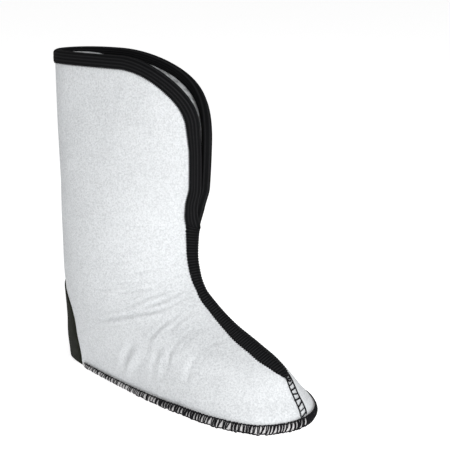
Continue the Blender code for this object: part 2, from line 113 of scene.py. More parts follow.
@dataclass(frozen=True)
class Crease:
    """A soft trough with a raised lip on each side, drawn on the side of the felt.

    Attributes:
        points: Places along it, as (distance from the heel, height) in millimetres.
        width: Half width of the trough, in millimetres.
        depth: Depth of the trough in millimetres, or a negative height of a ridge.
        side: -1 for the lateral side, 1 for the medial side, 0 for both.
        lip: Height of the lips as a share of the depth.
        lip_place: Distance of the lips from the trough, in half widths.
        lip_width: Half width of the lips, in the trough's half widths.
        end_fade: Power of the sine that lets both ends run out.
    """

    points: tuple[tuple[float, float], ...]
    width: float
    depth: float
    side: int = -1
    lip: float = 0.45
    lip_place: float = 1.9
    lip_width: float = 0.9
    end_fade: float = 0.6

    def relief(self, x: Array, height: Array, side: Array) -> Array:
        """Height of the felt over its plain form.

        Args:
            x: Distances from the heel, in metres.
            height: Heights above the floor, in metres.
            side: -1 or 1 at each place.

        Returns:
            The relief at each place, in metres.
        """
        place = np.stack([x, height], axis=-1) * MM_PER_METRE
        marks = np.array(self.points, float)
        starts = run_lengths(marks)
        best = np.full(x.shape, np.inf)
        along = np.zeros(x.shape)
        for i, length in enumerate(np.diff(starts)):
            way = (marks[i + 1] - marks[i]) / length
            reach = np.clip((place - marks[i]) @ way, 0.0, length)
            away = np.linalg.norm(place - marks[i] - reach[..., None] * way, axis=-1)
            closer = away < best
            best = np.where(closer, away, best)
            along = np.where(closer, starts[i] + reach, along)
        share = along / starts[-1]
        fade = np.sin(math.pi * np.clip(share, 0.0, 1.0)) ** self.end_fade
        u = best / self.width
        trough = np.exp(-u * u)
        lips = np.exp(-(((u - self.lip_place) / self.lip_width) ** 2))
        shape = self.depth / MM_PER_METRE * fade * (self.lip * lips - trough)
        if self.side:
            shape = shape * (np.asarray(side) == self.side)
        return shape


# Creases of the felt, placed one by one: the long ones run down and back from the instep,
# fine ones lie across the ankle, and soft ripples stand over the sole's edge.
CREASES = (
    Crease(((88, 67), (104, 72), (117, 77), (134, 82.5), (149, 87), (164, 91.5)), 1.93, 1.76),
    Crease(((134, 85), (149.5, 92), (159.5, 98), (168, 104), (174, 110)), 1.75, 1.11),
    Crease(((126, 88), (146, 99.5), (154.5, 103), (166, 107)), 1.56, 0.77),
    Crease(((140, 83), (159.5, 89.5), (168, 94.5), (176, 102)), 1.66, 0.92),
    Crease(((153, 60), (156.5, 64), (165.5, 75.5), (170.5, 81), (177, 88)), 1.75, 1.11),
    Crease(((154, 44), (157, 60.5), (163, 71), (170, 81)), 1.66, 0.83),
    Crease(((182, 34), (183, 52.5), (186, 63), (192, 72), (199, 80)), 2.02, 1.20),
    Crease(((190, 56), (198, 71.5), (205, 80)), 1.66, 0.83),
    Crease(((174, 70), (180.5, 82), (187, 92)), 1.66, 0.83),
    Crease(((162, 21), (162, 38), (169, 53.5), (171, 58)), 2.21, 0.83),
    Crease(((105, 108), (129, 112), (147, 116.5)), 1.29, 0.59),
    Crease(((112, 100), (134.5, 105), (152, 109.5)), 1.38, 0.66),
    Crease(((117, 118), (139, 123.5), (156, 128)), 1.20, 0.55),
    Crease(((88, 99), (114, 105), (135, 110.5)), 1.47, 0.59),
    Crease(((144, 143), (158, 147), (170, 149.5)), 1.20, 0.66),
    Crease(((119, 140), (138.5, 143), (154, 147.5)), 1.20, 0.55),
    Crease(((100, 128), (123.5, 132), (141, 136.5)), 1.38, 0.55),
    Crease(((127, 154.5), (147, 157.5), (164, 162)), 1.20, 0.55),
    Crease(((111, 164), (135.5, 167), (155, 171.5)), 1.20, 0.55),
    Crease(((142, 181), (158, 178), (171, 175)), 1.20, 0.55),
    Crease(((146, 124.5), (161, 132), (172, 138)), 1.29, 0.62),
    Crease(((150, 114), (163.5, 119.5), (174, 126)), 1.38, 0.66),
    Crease(((211, 60), (219, 67.5), (228, 71)), 1.56, 0.74),
    Crease(((214, 40), (217.5, 57), (222, 66)), 1.84, 0.65),
    Crease(((112, 17), (122, 37), (135, 55)), 4.14, 1.11),
    Crease(((207, 32), (208.5, 47), (212, 59)), 3.22, 0.83),
    Crease(((124, 24), (136, 40), (146, 52)), 4.60, -1.26),
    Crease(((171, 28), (173, 46), (178, 60)), 2.94, -0.94),
    # the medial side, which the photograph doesn't show, is creased at the instep too
    Crease(((118, 78), (136, 84), (152, 89), (166, 96)), 1.84, 1.28, 1),
    Crease(((134, 92), (152, 99), (170, 108)), 1.75, 0.83, 1),
    Crease(((156, 58), (166, 74), (177, 88)), 1.75, 0.83, 1),
    Crease(((186, 48), (190, 66), (200, 80)), 1.93, 0.92, 1),
    Crease(((120, 134), (140, 140), (160, 146)), 1.29, 0.55, 1),
    Crease(((112, 152), (135, 156), (158, 161)), 1.29, 0.52, 1),
)


@dataclass
class FootForm:
    """Outer form of the felt, as the solids have it, with its soft creases.

    A place on it is a height and a signed way round: 0 is the middle of the heel,
    -1 and 1 are the front ridge by the lateral and by the medial side.
    """

    foot_length: float = 0.303
    ball_width: float = 0.106
    instep_height: float = 0.120
    collar_height: float = 0.3215
    shaft_depth: float = 0.186
    shaft_width: float = 0.092
    felt: float = 0.0060
    slit_foot: float = 0.166
    slit_setback: float = 0.0113
    slit_opening: float = 0.036
    slit_gap: float = 0.0044
    corner_long: tuple[float, float] = (0.075, 0.140)
    corner_tall: tuple[float, float] = (0.059, 0.075)
    heel_x: float = -0.15360
    middle_y: float = 0.00149
    level_step: float = 0.0005
    way_step: float = 0.002
    height_step: float = 0.001
    halvings: int = 18
    creases: tuple[Crease, ...] = CREASES
    columns: tuple[str, ...] = ("rise", "back", "front", "heel", "waist", "ball", "nose")
    stations: tuple[float, float, float] = (0.12, 0.42, 0.72)
    fullness: dict[int, tuple[float, float, float]] = field(
        default_factory=lambda: {-1: (1.00, 1.00, 1.04), 1: (1.00, 0.94, 0.98)}
    )
    foot_rows: tuple[tuple[float, ...], ...] = (
        (-0.10, 0.014, 1.003, 0.225, 0.386, 0.506, 1.05),
        (0.00, 0.014, 1.003, 0.225, 0.386, 0.506, 1.05),
        (0.09, 0.011, 1.002, 0.235, 0.390, 0.506, 1.05),
        (0.23, 0.013, 0.974, 0.270, 0.400, 0.466, 1.28),
        (0.34, 0.018, 0.951, 0.295, 0.410, 0.420, 1.50),
        (0.40, 0.020, 0.937, 0.300, 0.415, 0.397, 1.72),
        (0.45, 0.021, 0.912, 0.303, 0.418, 0.383, 1.92),
        (0.53, 0.022, 0.850, 0.308, 0.424, 0.360, 2.05),
        (0.65, 0.023, 0.748, 0.312, 0.430, 0.335, 2.10),
        (0.78, 0.024, 0.668, 0.316, 0.436, 0.318, 2.10),
        (0.89, 0.024, 0.618, 0.318, 0.438, 0.312, 2.10),
    )
    shaft_rows: tuple[tuple[float, ...], ...] = (
        (0.00, 0.040, 0.970, 0.366, 0.506, 0.360, 2.10),
        (0.10, 0.041, 0.950, 0.368, 0.508, 0.362, 2.10),
        (0.20, 0.041, 0.957, 0.372, 0.502, 0.362, 2.10),
        (0.32, 0.040, 1.016, 0.376, 0.492, 0.342, 2.05),
        (0.42, 0.036, 1.060, 0.376, 0.476, 0.322, 2.00),
        (0.62, 0.027, 1.068, 0.370, 0.440, 0.318, 1.95),
        (0.80, 0.019, 1.064, 0.354, 0.402, 0.322, 1.85),
        (1.00, 0.010, 1.056, 0.335, 0.380, 0.335, 1.70),
        (1.10, 0.006, 1.052, 0.330, 0.376, 0.337, 1.68),
    )

    def __post_init__(self) -> None:
        """Read both tables once, on fine levels."""
        shaft_rise = self.collar_height - self.instep_height
        rows = self._scaled(
            self.foot_rows, 0.0, self.instep_height, self.foot_length, self.ball_width)
        rows += self._scaled(
            self.shaft_rows, self.instep_height, shaft_rise, self.shaft_depth, self.shaft_width)
        marks = np.array([row[0] for row in rows])
        self._levels = np.arange(marks[0], marks[-1], self.level_step)
        self._table = {
            name: self.smooth(marks, np.array([row[i] for row in rows]), self._levels)
            for i, name in enumerate(self.columns)
        }

    def _scaled(
        self,
        rows: Sequence[Sequence[float]],
        base: float,
        rise: float,
        depth: float,
        width: float,
    ) -> list[list[float]]:
        """Turn a table of shares into metres.

        Args:
            rows: The table, with the columns that the class names.
            base: Height of the table's first level.
            rise: Height that a rise of 1 stands for.
            depth: Length that the back and front are shares of.
            width: Width that the half widths are shares of.

        Returns:
            The rows in metres.
        """
        factors = (rise, depth, depth, width, width, width, 1.0)
        made = [[value * factor for value, factor in zip(row, factors)] for row in rows]
        for row in made:
            row[0] += base
        return made

    @staticmethod
    def smooth(marks: Array, values: Array, levels: Array) -> Array:
        """Read a column on a curve with no overshoot.

        Args:
            marks: Levels of the table's rows.
            values: The column's values there.
            levels: Levels to read it at.

        Returns:
            The column at each level.
        """
        slopes = np.diff(values) / np.diff(marks)
        before, after = slopes[:-1], slopes[1:]
        total = np.where(before + after == 0.0, 1.0, before + after)
        inner = np.where(before * after > 0.0, 2.0 * before * after / total, 0.0)
        tangents = np.concatenate([[slopes[0]], inner, [slopes[-1]]])
        row = np.clip(np.searchsorted(marks, levels, side="right") - 1, 0, len(slopes) - 1)
        span = marks[row + 1] - marks[row]
        u = np.clip((levels - marks[row]) / span, 0.0, 1.0)
        bend = tangents[row] * (1 - u) - tangents[row + 1] * u
        return (
            values[row] * (1 + 2 * u) * (1 - u) ** 2
            + values[row + 1] * u * u * (3 - 2 * u)
            + span * u * (1 - u) * bend
        )

    def column(self, name: str, height: Array) -> Array:
        """A column of the table at any heights."""
        return np.interp(height, self._levels, self._table[name])

    def way_at(self, x: Array, height: Array) -> Array:
        """Read the way round at a distance from the heel.

        Args:
            x: Distances from the heel.
            height: Heights above the floor.

        Returns:
            Ways round without a sign, from 0 to 1.
        """
        back = self.column("back", height)
        depth = self.column("front", height) - back
        share = np.clip((x - back) / depth, 0.0, 1.0)
        return np.arccos(1.0 - 2.0 * share) / math.pi

    def x_at(self, way: Array, height: Array) -> Array:
        """Read the distance from the heel at a way round.

        Args:
            way: Signed ways round.
            height: Heights above the floor.

        Returns:
            Distances from the heel.
        """
        share = 0.5 * (1.0 - np.cos(math.pi * np.abs(way)))
        back = self.column("back", height)
        return back + share * (self.column("front", height) - back)

    def plain(self, height: Array, way: Array) -> Array:
        """Points of the form without creases.

        Args:
            height: Heights above the floor.
            way: Signed ways round; past 1 they come back on the other side.

        Returns:
            Points as rows of x, y and z, from the heel and the middle plane.
        """
        height, way = np.broadcast_arrays(np.asarray(height, float), np.asarray(way, float))
        way = np.where(way > 1.0, way - 2.0, np.where(way < -1.0, way + 2.0, way))
        side = np.where(way < 0.0, -1, 1)
        share = 0.5 * (1.0 - np.cos(math.pi * np.abs(way)))
        nose = self.column("nose", height)

        def closing(at: Array) -> Array:
            """Width at a share of the length, closing to nothing at both ends."""
            sine = 2.0 * np.sqrt(np.clip(at * (1.0 - at), 0.0, None))
            return sine ** (1.0 + (nose - 1.0) * at * at)

        total = np.zeros(height.shape)
        for i, name in enumerate(("heel", "waist", "ball")):
            weight = np.ones(height.shape)
            for j, other in enumerate(self.stations):
                if i != j:
                    weight = weight * (share - other) / (self.stations[i] - other)
            full = np.where(side < 0, self.fullness[-1][i], self.fullness[1][i])
            width = self.column(name, height) * full
            total += weight * width / closing(np.full(height.shape, self.stations[i]))
        half = np.clip(total, 0.0, None) * closing(share)
        return np.stack([self.x_at(way, height), side * half, height], axis=-1)

    def normal(self, height: Array, way: Array) -> Array:
        """Work out the outward directions of the plain form.

        Args:
            height: Heights above the floor.
            way: Signed ways round.

        Returns:
            Directions of length 1 as rows.
        """
        along = self.plain(height, way + self.way_step) - self.plain(height, way - self.way_step)
        rise = self.height_step
        up = self.plain(height + rise, way) - self.plain(height - rise, way)
        out = np.cross(up, along)
        length = np.linalg.norm(out, axis=-1, keepdims=True)
        return out / np.where(length == 0.0, 1.0, length)

    def relief(self, height: Array, way: Array) -> Array:
        """Add up the creases.

        Args:
            height: Heights above the floor.
            way: Signed ways round.

        Returns:
            Heights of the felt over its plain form.
        """
        x = self.x_at(way, height)
        side = np.where(way < 0.0, -1, 1)
        total = np.zeros(np.shape(x))
        for crease in self.creases:
            total = total + crease.relief(x, np.asarray(height), side)
        return total

    def skin(self, height: Array, way: Array, out: Array | float) -> Array:
        """Points over the creased felt, in the frame's own place.

        Args:
            height: Heights above the floor.
            way: Signed ways round.
            out: Distance out from the felt's face, negative into the felt.

        Returns:
            Points as rows of x, y and z.
        """
        height, way = np.broadcast_arrays(np.asarray(height, float), np.asarray(way, float))
        reach = (self.relief(height, way) + out)[..., None]
        points = self.plain(height, way) + self.normal(height, way) * reach
        return points + np.array([self.heel_x, self.middle_y, 0.0])

    def corner_size(self, side: Array) -> tuple[Array, Array]:
        """Size of the round corner of the panel on each side.

        Args:
            side: Negative on the lateral side, positive on the medial side.

        Returns:
            The corner's length and its height.
        """
        lateral = np.asarray(side) < 0
        return (
            np.where(lateral, self.corner_long[0], self.corner_long[1]),
            np.where(lateral, self.corner_tall[0], self.corner_tall[1]),
        )

    def edge_x(self, height: Array, side: Array) -> Array:
        """Distance from the heel of the felt's front edge, beside the slit and round the corner.

        Args:
            height: Heights above the floor.
            side: Negative on the lateral side, positive on the medial side.

        Returns:
            The distances.
        """
        height = np.asarray(height, float)
        long, tall = self.corner_size(side)
        opened = np.clip((height - self.slit_foot) / self.slit_opening, 0.0, 1.0)
        setback = self.slit_setback * opened * (2.0 - opened)
        bend = self.collar_height - tall
        straight = self.column("front", np.minimum(height, bend)) - setback
        rise = np.clip((height - bend) / tall, 0.0, 1.0)
        return straight - long * (1.0 - np.sqrt(1.0 - rise * rise))

    def meeting_way(self, height: Array, out: float, gap: Array | float) -> Array:
        """How far round an inward offset may go before it comes within a gap of the middle.

        Args:
            height: Heights above the floor.
            out: Offset from the felt's face.
            gap: Least distance from the middle plane.

        Returns:
            The way round, from 0.5 to 1.
        """
        low, high = np.full(np.shape(height), 0.5), np.ones(np.shape(height))
        for _ in range(self.halvings):
            middle = 0.5 * (low + high)
            apart = [
                self.plain(height, side * middle)[..., 1]
                + self.normal(height, side * middle)[..., 1] * out
                for side in (-1, 1)
            ]
            clear = (apart[1] > gap) & (apart[0] < -gap)
            low, high = np.where(clear, middle, low), np.where(clear, high, middle)
        return low


class Piece(ABC):
    """A sub-assembly: it builds its meshes from bmesh operators and dresses them."""

    THREAD_END = 0.45
    THREAD_STEP = 4.0
    THREAD_GIRTH = 6.0
    STEEP = 0.8

    @abstractmethod
    def build(self) -> None:
        """Make the pieces and set them on the frame."""

    @staticmethod
    def sheet(bm: bmesh.types.BMesh, across: int, along: int, place: Place, tube: bool = False,
              scale: tuple[float, float] = (1.0, 1.0), material: int = 0) -> None:
        """Add a grid and move each of its points to a place worked out from its two shares.

        Args:
            bm: The mesh to add to.
            across: Number of faces along the first share.
            along: Number of faces along the second share.
            place: Turns arrays of both shares, from 0 to 1, into points.
            tube: Whether the second share runs full circle, so its ends are joined.
            scale: Lengths that the two shares stand for in the UV map.
            material: Index of the faces' material.
        """
        uv = bm.loops.layers.uv.verify()
        made = bmesh.ops.create_grid(bm, x_segments=across, y_segments=along, size=0.5)
        verts = made["verts"]
        flat = np.array([vert.co[:2] for vert in verts])
        share = (flat - flat.min(axis=0)) / (flat.max(axis=0) - flat.min(axis=0))
        points = place(share[:, 0], share[:, 1])
        at = {}
        for vert, point, (u, v) in zip(verts, points.tolist(), share.tolist()):
            vert.co = point
            at[vert] = (u * scale[0], v * scale[1])
        for face in {face for vert in verts for face in vert.link_faces}:
            face.material_index = material
            for loop in face.loops:
                loop[uv].uv = at[loop.vert]
        if tube:
            edges = [vert for vert, s in zip(verts, share[:, 1]) if s < TINY or s > 1.0 - TINY]
            bmesh.ops.remove_doubles(bm, verts=edges, dist=TINY)

    @staticmethod
    def thread(bm: bmesh.types.BMesh, path: Array, radius: float, sides: int = 6) -> None:
        """Add a closed round thread along a path.

        Args:
            bm: The mesh to add to.
            path: Points along the middle of the thread, as rows.
            radius: Radius of the thread.
            sides: Number of faces round it.
        """
        way = np.gradient(path, axis=0)
        way /= np.linalg.norm(way, axis=1, keepdims=True)
        level = abs(way[:, 2]).mean() < Piece.STEEP
        first = np.cross(way, (0.0, 0.0, 1.0) if level else (1.0, 0.0, 0.0))
        first /= np.linalg.norm(first, axis=1, keepdims=True)
        second = np.cross(way, first)
        count = len(path)

        def place(u: Array, v: Array) -> Array:
            """Points round the path, closer to it at both ends.

            Args:
                u: Shares of the way along the thread.
                v: Shares of the way round it.

            Returns:
                Points as rows.
            """
            at = np.rint(u * (count - 1)).astype(int)
            end = np.minimum(at, count - 1 - at)
            size = radius * np.where(end == 0, Piece.THREAD_END, 1.0)
            turn = TURN * v
            ring = first[at] * np.cos(turn)[:, None] + second[at] * np.sin(turn)[:, None]
            return path[at] + ring * size[:, None]

        before = set(bm.verts)
        scale = (count * radius * Piece.THREAD_STEP, radius * Piece.THREAD_GIRTH)
        Piece.sheet(bm, count - 1, sides, place, tube=True, scale=scale)
        new = [vert for vert in bm.verts if vert not in before]
        edges = {edge for vert in new for edge in vert.link_edges if edge.is_boundary}
        bmesh.ops.holes_fill(bm, edges=list(edges), sides=sides)

    @staticmethod
    def close(bm: bmesh.types.BMesh, edges: Sequence[bmesh.types.BMEdge] | None = None,
              material: int | None = None) -> None:
        """Fill open rims with faces split into triangles.

        Args:
            bm: The mesh.
            edges: The rims' edges, or None for all that are open.
            material: Index of the new faces' material, or None to leave it.
        """
        if edges is None:
            edges = [edge for edge in bm.edges if edge.is_boundary]
        filled = bmesh.ops.holes_fill(bm, edges=edges, sides=0)
        split = bmesh.ops.triangulate(
            bm, faces=filled["faces"], quad_method="BEAUTY", ngon_method="BEAUTY")
        if material is not None:
            for face in split["faces"]:
                face.material_index = material

    @staticmethod
    def settle(bm: bmesh.types.BMesh, name: str, materials: Sequence[bpy.types.Material],
               slot: Slot, replaces: Sequence[str] = ()) -> bpy.types.Object:
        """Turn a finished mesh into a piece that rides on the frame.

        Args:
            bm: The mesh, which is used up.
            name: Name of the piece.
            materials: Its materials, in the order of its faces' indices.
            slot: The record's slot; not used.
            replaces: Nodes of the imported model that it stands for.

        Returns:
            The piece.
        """
        bmesh.ops.recalc_face_normals(bm, faces=bm.faces)
        mesh = bpy.data.meshes.new(name)
        bm.to_mesh(mesh)
        bm.free()
        mesh.shade_smooth()
        for material in materials:
            mesh.materials.append(material)
        piece = bpy.data.objects.new(name, mesh)
        bpy.context.scene.collection.objects.link(piece)
        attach(piece, BODY)
        if replaces:
            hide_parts(*replaces)
        LOG.info("%s: %d faces", name, len(mesh.polygons))
        return piece


class Value:
    """A number's socket in a shader, which Python's operators turn into Math nodes."""

    def __init__(self, paint: "Paint", socket: bpy.types.NodeSocket) -> None:
        """Wrap a socket of a material under construction."""
        self.paint = paint
        self.socket = socket

    def _math(self, operation: str, *values: Any) -> "Value":
        """Add a Math node.

        Args:
            operation: The node's operation.
            values: Its inputs, as numbers or values.

        Returns:
            The node's result.
        """
        node = self.paint.node("ShaderNodeMath", {"operation": operation}, dict(enumerate(values)))
        return Value(self.paint, node.outputs[0])

    def __add__(self, other: Any) -> "Value":
        """Sum."""
        return self._math("ADD", self, other)

    def __sub__(self, other: Any) -> "Value":
        """Difference."""
        return self._math("SUBTRACT", self, other)

    def __mul__(self, other: Any) -> "Value":
        """Product."""
        return self._math("MULTIPLY", self, other)

    def wave(self, length: float, shift: Any = None) -> "Value":
        """Smooth stripes that run from 0 to 1 and back.

        Args:
            length: Distance from one stripe to the next.
            shift: Angle that moves the stripes on, or None.

        Returns:
            The stripes.
        """
        angle = self * (TURN / length)
        if shift is not None:
            angle = angle + shift
        return self._math("SINE", angle) * 0.5 + 0.5

    def ramp(self, start: float, end: float) -> "Value":
        """Smooth rise.

        Args:
            start: The value at which it leaves 0.
            end: The value at which it reaches 1.

        Returns:
            The rise, between 0 and 1.
        """
        node = self.paint.node(
            "ShaderNodeMapRange",
            {"interpolation_type": "SMOOTHSTEP"},
            {"Value": self, "From Min": start, "From Max": end, "To Min": 0.0, "To Max": 1.0},
        )
        return Value(self.paint, node.outputs["Result"])


class Paint:
    """A material under construction."""

    def __init__(self, name: str) -> None:
        """Start a material with a shader of its own.

        Args:
            name: Name of the material.
        """
        self.material = bpy.data.materials.new(name)
        self.material.use_nodes = True
        self.tree = self.material.node_tree
        self.shader = self.tree.nodes["Principled BSDF"]

    def node(self, kind: str, settings: dict[str, Any] | None = None,
             inputs: dict[Any, Any] | None = None) -> bpy.types.Node:
        """Add a node.

        Args:
            kind: The node's type.
            settings: Its settings, which are set first.
            inputs: Values, sockets or wrapped values for its inputs.

        Returns:
            The node.
        """
        node = self.tree.nodes.new(kind)
        for name, value in (settings or {}).items():
            setattr(node, name, value)
        for name, value in (inputs or {}).items():
            self.feed(node.inputs[name], value)
        return node

    def feed(self, socket: bpy.types.NodeSocket, value: Any) -> None:
        """Set a socket, or link it.

        Args:
            socket: The socket.
            value: A number, a colour, a socket or a wrapped value.
        """
        if isinstance(value, Value):
            value = value.socket
        if isinstance(value, bpy.types.NodeSocket):
            self.tree.links.new(value, socket)
        elif isinstance(value, tuple) and len(value) == 3 and socket.type == "RGBA":
            socket.default_value = (*value, 1.0)
        else:
            socket.default_value = value

    def place(self) -> bpy.types.NodeSocket:
        """The piece's own coordinates, in metres."""
        return self.node("ShaderNodeTexCoord").outputs["Object"]

    def uv(self) -> tuple[Value, Value]:
        """Read the UV map.

        Returns:
            Its two coordinates, in metres along the piece and across it.
        """
        source = self.node("ShaderNodeTexCoord").outputs["UV"]
        split = self.node("ShaderNodeSeparateXYZ", None, {0: source})
        return Value(self, split.outputs[0]), Value(self, split.outputs[1])

    def stretched(self, source: bpy.types.NodeSocket,
                  scale: tuple[float, float, float]) -> bpy.types.NodeSocket:
        """Coordinates scaled by a Mapping node."""
        return self.node("ShaderNodeMapping", None, {"Vector": source, "Scale": scale}).outputs[0]

    def noise(self, source: bpy.types.NodeSocket, scale: float, detail: float,
              roughness: float = 0.55, distortion: float = 0.0) -> Value:
        """Add a Noise node.

        Args:
            source: Coordinates.
            scale: Size of the noise, larger for finer.
            detail: Number of finer layers.
            roughness: Strength of the finer layers.
            distortion: How far it is swirled.

        Returns:
            Noise between 0 and 1.
        """
        inputs = {"Vector": source, "Scale": scale, "Detail": detail, "Roughness": roughness,
                  "Distortion": distortion}
        return Value(self, self.node("ShaderNodeTexNoise", None, inputs).outputs["Fac"])

    def mix(self, factor: Any, low: Any, high: Any) -> bpy.types.NodeSocket:
        """Mix of two colours."""
        inputs = {0: factor, 6: low, 7: high}
        return self.node("ShaderNodeMix", {"data_type": "RGBA"}, inputs).outputs[2]

    def bump(self, height: Value, distance: float, strength: float = 1.0,
             under: bpy.types.NodeSocket | None = None) -> bpy.types.NodeSocket:
        """Add a Bump node.

        Args:
            height: The relief.
            distance: Height in metres that a value of 1 stands for.
            strength: Strength of the bumps.
            under: Normal of the surface that they lie on, or None.

        Returns:
            The normal of the bumpy surface.
        """
        inputs = {"Height": height, "Distance": distance, "Strength": strength}
        if under is not None:
            inputs["Normal"] = under
        return self.node("ShaderNodeBump", None, inputs).outputs[0]

    def finish(self, **sockets: Any) -> bpy.types.Material:
        """Feed the shader.

        Args:
            sockets: Values by the sockets' names, with underscores for spaces.

        Returns:
            The finished material.
        """
        for name, value in sockets.items():
            socket = name.replace("_", " ").title().replace("Ior", "IOR")
            self.feed(self.shader.inputs[socket], value)
        return self.material


@dataclass(frozen=True)
class FeltFinish:
    """Needle felt: matted fibres, flecks a millimetre or two across, soft clouds."""

    name: str = "felt"
    light: tuple[float, float, float] = (0.70, 0.718, 0.732)
    dark: tuple[float, float, float] = (0.465, 0.48, 0.494)
    fleck_scale: float = 620.0
    fibre_scale: float = 1500.0
    cloud_scale: float = 38.0
    fleck_height: float = 0.00065
    fibre_height: float = 0.00022
    fibre_squash: tuple[float, float, float] = (1.0, 1.0, 0.45)
    shares: tuple[float, float, float] = (0.62, 0.22, 0.16)
    contrasts: tuple[tuple[float, float], ...] = ((0.34, 0.62), (0.3, 0.7), (0.2, 0.8))
    cloud_height: float = 0.0026
    roughness: float = 0.96

    def material(self) -> bpy.types.Material:
        """Build the material.

        Returns:
            The finished material.
        """
        paint = Paint(self.name)
        place = paint.place()
        flecks = paint.noise(place, self.fleck_scale, 4.0, roughness=0.62, distortion=0.6)
        squashed = paint.stretched(place, self.fibre_squash)
        fibres = paint.noise(squashed, self.fibre_scale, 2.0, roughness=0.6, distortion=1.2)
        clouds = paint.noise(place, self.cloud_scale, 3.0)
        first, second, third = (
            noise.ramp(*contrast) * share
            for noise, contrast, share in zip((flecks, fibres, clouds), self.contrasts, self.shares))
        shade = first + second + third
        colour = paint.mix(shade, self.dark, self.light)
        rough = paint.bump(clouds, self.cloud_height, 0.5)
        rough = paint.bump(flecks, self.fleck_height, 1.0, rough)
        rough = paint.bump(fibres, self.fibre_height, 0.8, rough)
        return paint.finish(
            base_color=colour, roughness=self.roughness, normal=rough,
            specular_ior_level=0.2, sheen_weight=0.12, sheen_roughness=0.5)


@dataclass(frozen=True)
class KnitFinish:
    """Black knit tape with ribs along or across it and small loops."""

    name: str = "knit"
    colour: tuple[float, float, float] = (0.0035, 0.0036, 0.004)
    light: tuple[float, float, float] = (0.026, 0.026, 0.028)
    rib: float = 0.0028
    loop: float = 0.0012
    slant: float = 1.6
    fuzz_scale: float = 1400.0
    shares: tuple[float, float, float] = (0.55, 0.35, 0.25)
    contrast: tuple[float, float] = (0.55, 1.20)
    along: bool = True
    height: float = 0.00035
    roughness: float = 0.85

    def material(self) -> bpy.types.Material:
        """Build the material.

        Returns:
            The finished material.
        """
        paint = Paint(self.name)
        u, v = paint.uv()
        rib_way, loop_way = (v, u) if self.along else (u, v)
        ribs = rib_way.wave(self.rib)
        loops = loop_way.wave(self.loop, ribs * self.slant)
        fuzz = paint.noise(paint.place(), self.fuzz_scale, 2.0)
        rib_share, loop_share, fuzz_share = self.shares
        knit = ribs * rib_share + loops * loop_share + fuzz * fuzz_share
        colour = paint.mix(knit.ramp(*self.contrast), self.colour, self.light)
        rough = paint.bump(knit, self.height, 0.9)
        return paint.finish(
            base_color=colour, roughness=self.roughness, normal=rough,
            specular_ior_level=0.06)


@dataclass(frozen=True)
class ThreadFinish:
    """Twisted sewing thread."""

    name: str = "thread"
    colour: tuple[float, float, float] = (0.006, 0.006, 0.007)
    brighter: float = 1.8
    twist: float = 0.0009
    slant: float = 1.5
    height: float = 0.0001
    roughness: float = 0.8

    def material(self) -> bpy.types.Material:
        """Build the material.

        Returns:
            The finished material.
        """
        paint = Paint(self.name)
        u, v = paint.uv()
        twist = (u + v * self.slant).wave(self.twist)
        rough = paint.bump(twist, self.height, 0.7)
        colour = paint.mix(twist, self.colour, tuple(self.brighter * value for value in self.colour))
        return paint.finish(
            base_color=colour, roughness=self.roughness, normal=rough, specular_ior_level=0.06)


@dataclass(frozen=True)
class ClothFinish:
    """Plain woven cloth with fine crossed yarns."""

    name: str = "cloth"
    colour: tuple[float, float, float] = (0.006, 0.007, 0.0045)
    light: tuple[float, float, float] = (0.024, 0.026, 0.019)
    yarn: float = 0.0012
    wear_scale: float = 90.0
    fuzz_scale: float = 1200.0
    shares: tuple[float, float, float] = (0.4, 0.3, 0.3)
    worn: float = 0.6
    contrast: tuple[float, float] = (0.35, 0.95)
    height: float = 0.0002
    roughness: float = 0.8

    def material(self) -> bpy.types.Material:
        """Build the material.

        Returns:
            The finished material.
        """
        paint = Paint(self.name)
        u, v = paint.uv()
        wear = paint.noise(paint.place(), self.wear_scale, 4.0)
        fuzz = paint.noise(paint.place(), self.fuzz_scale, 2.0)
        first, second, third = self.shares
        weave = (u + v).wave(self.yarn) * first + (u - v).wave(self.yarn) * second + fuzz * third
        shade = (weave * self.worn + wear * self.worn).ramp(*self.contrast)
        colour = paint.mix(shade, self.colour, self.light)
        rough = paint.bump(weave, self.height, 0.8)
        return paint.finish(
            base_color=colour, roughness=self.roughness, normal=rough,
            specular_ior_level=0.06)


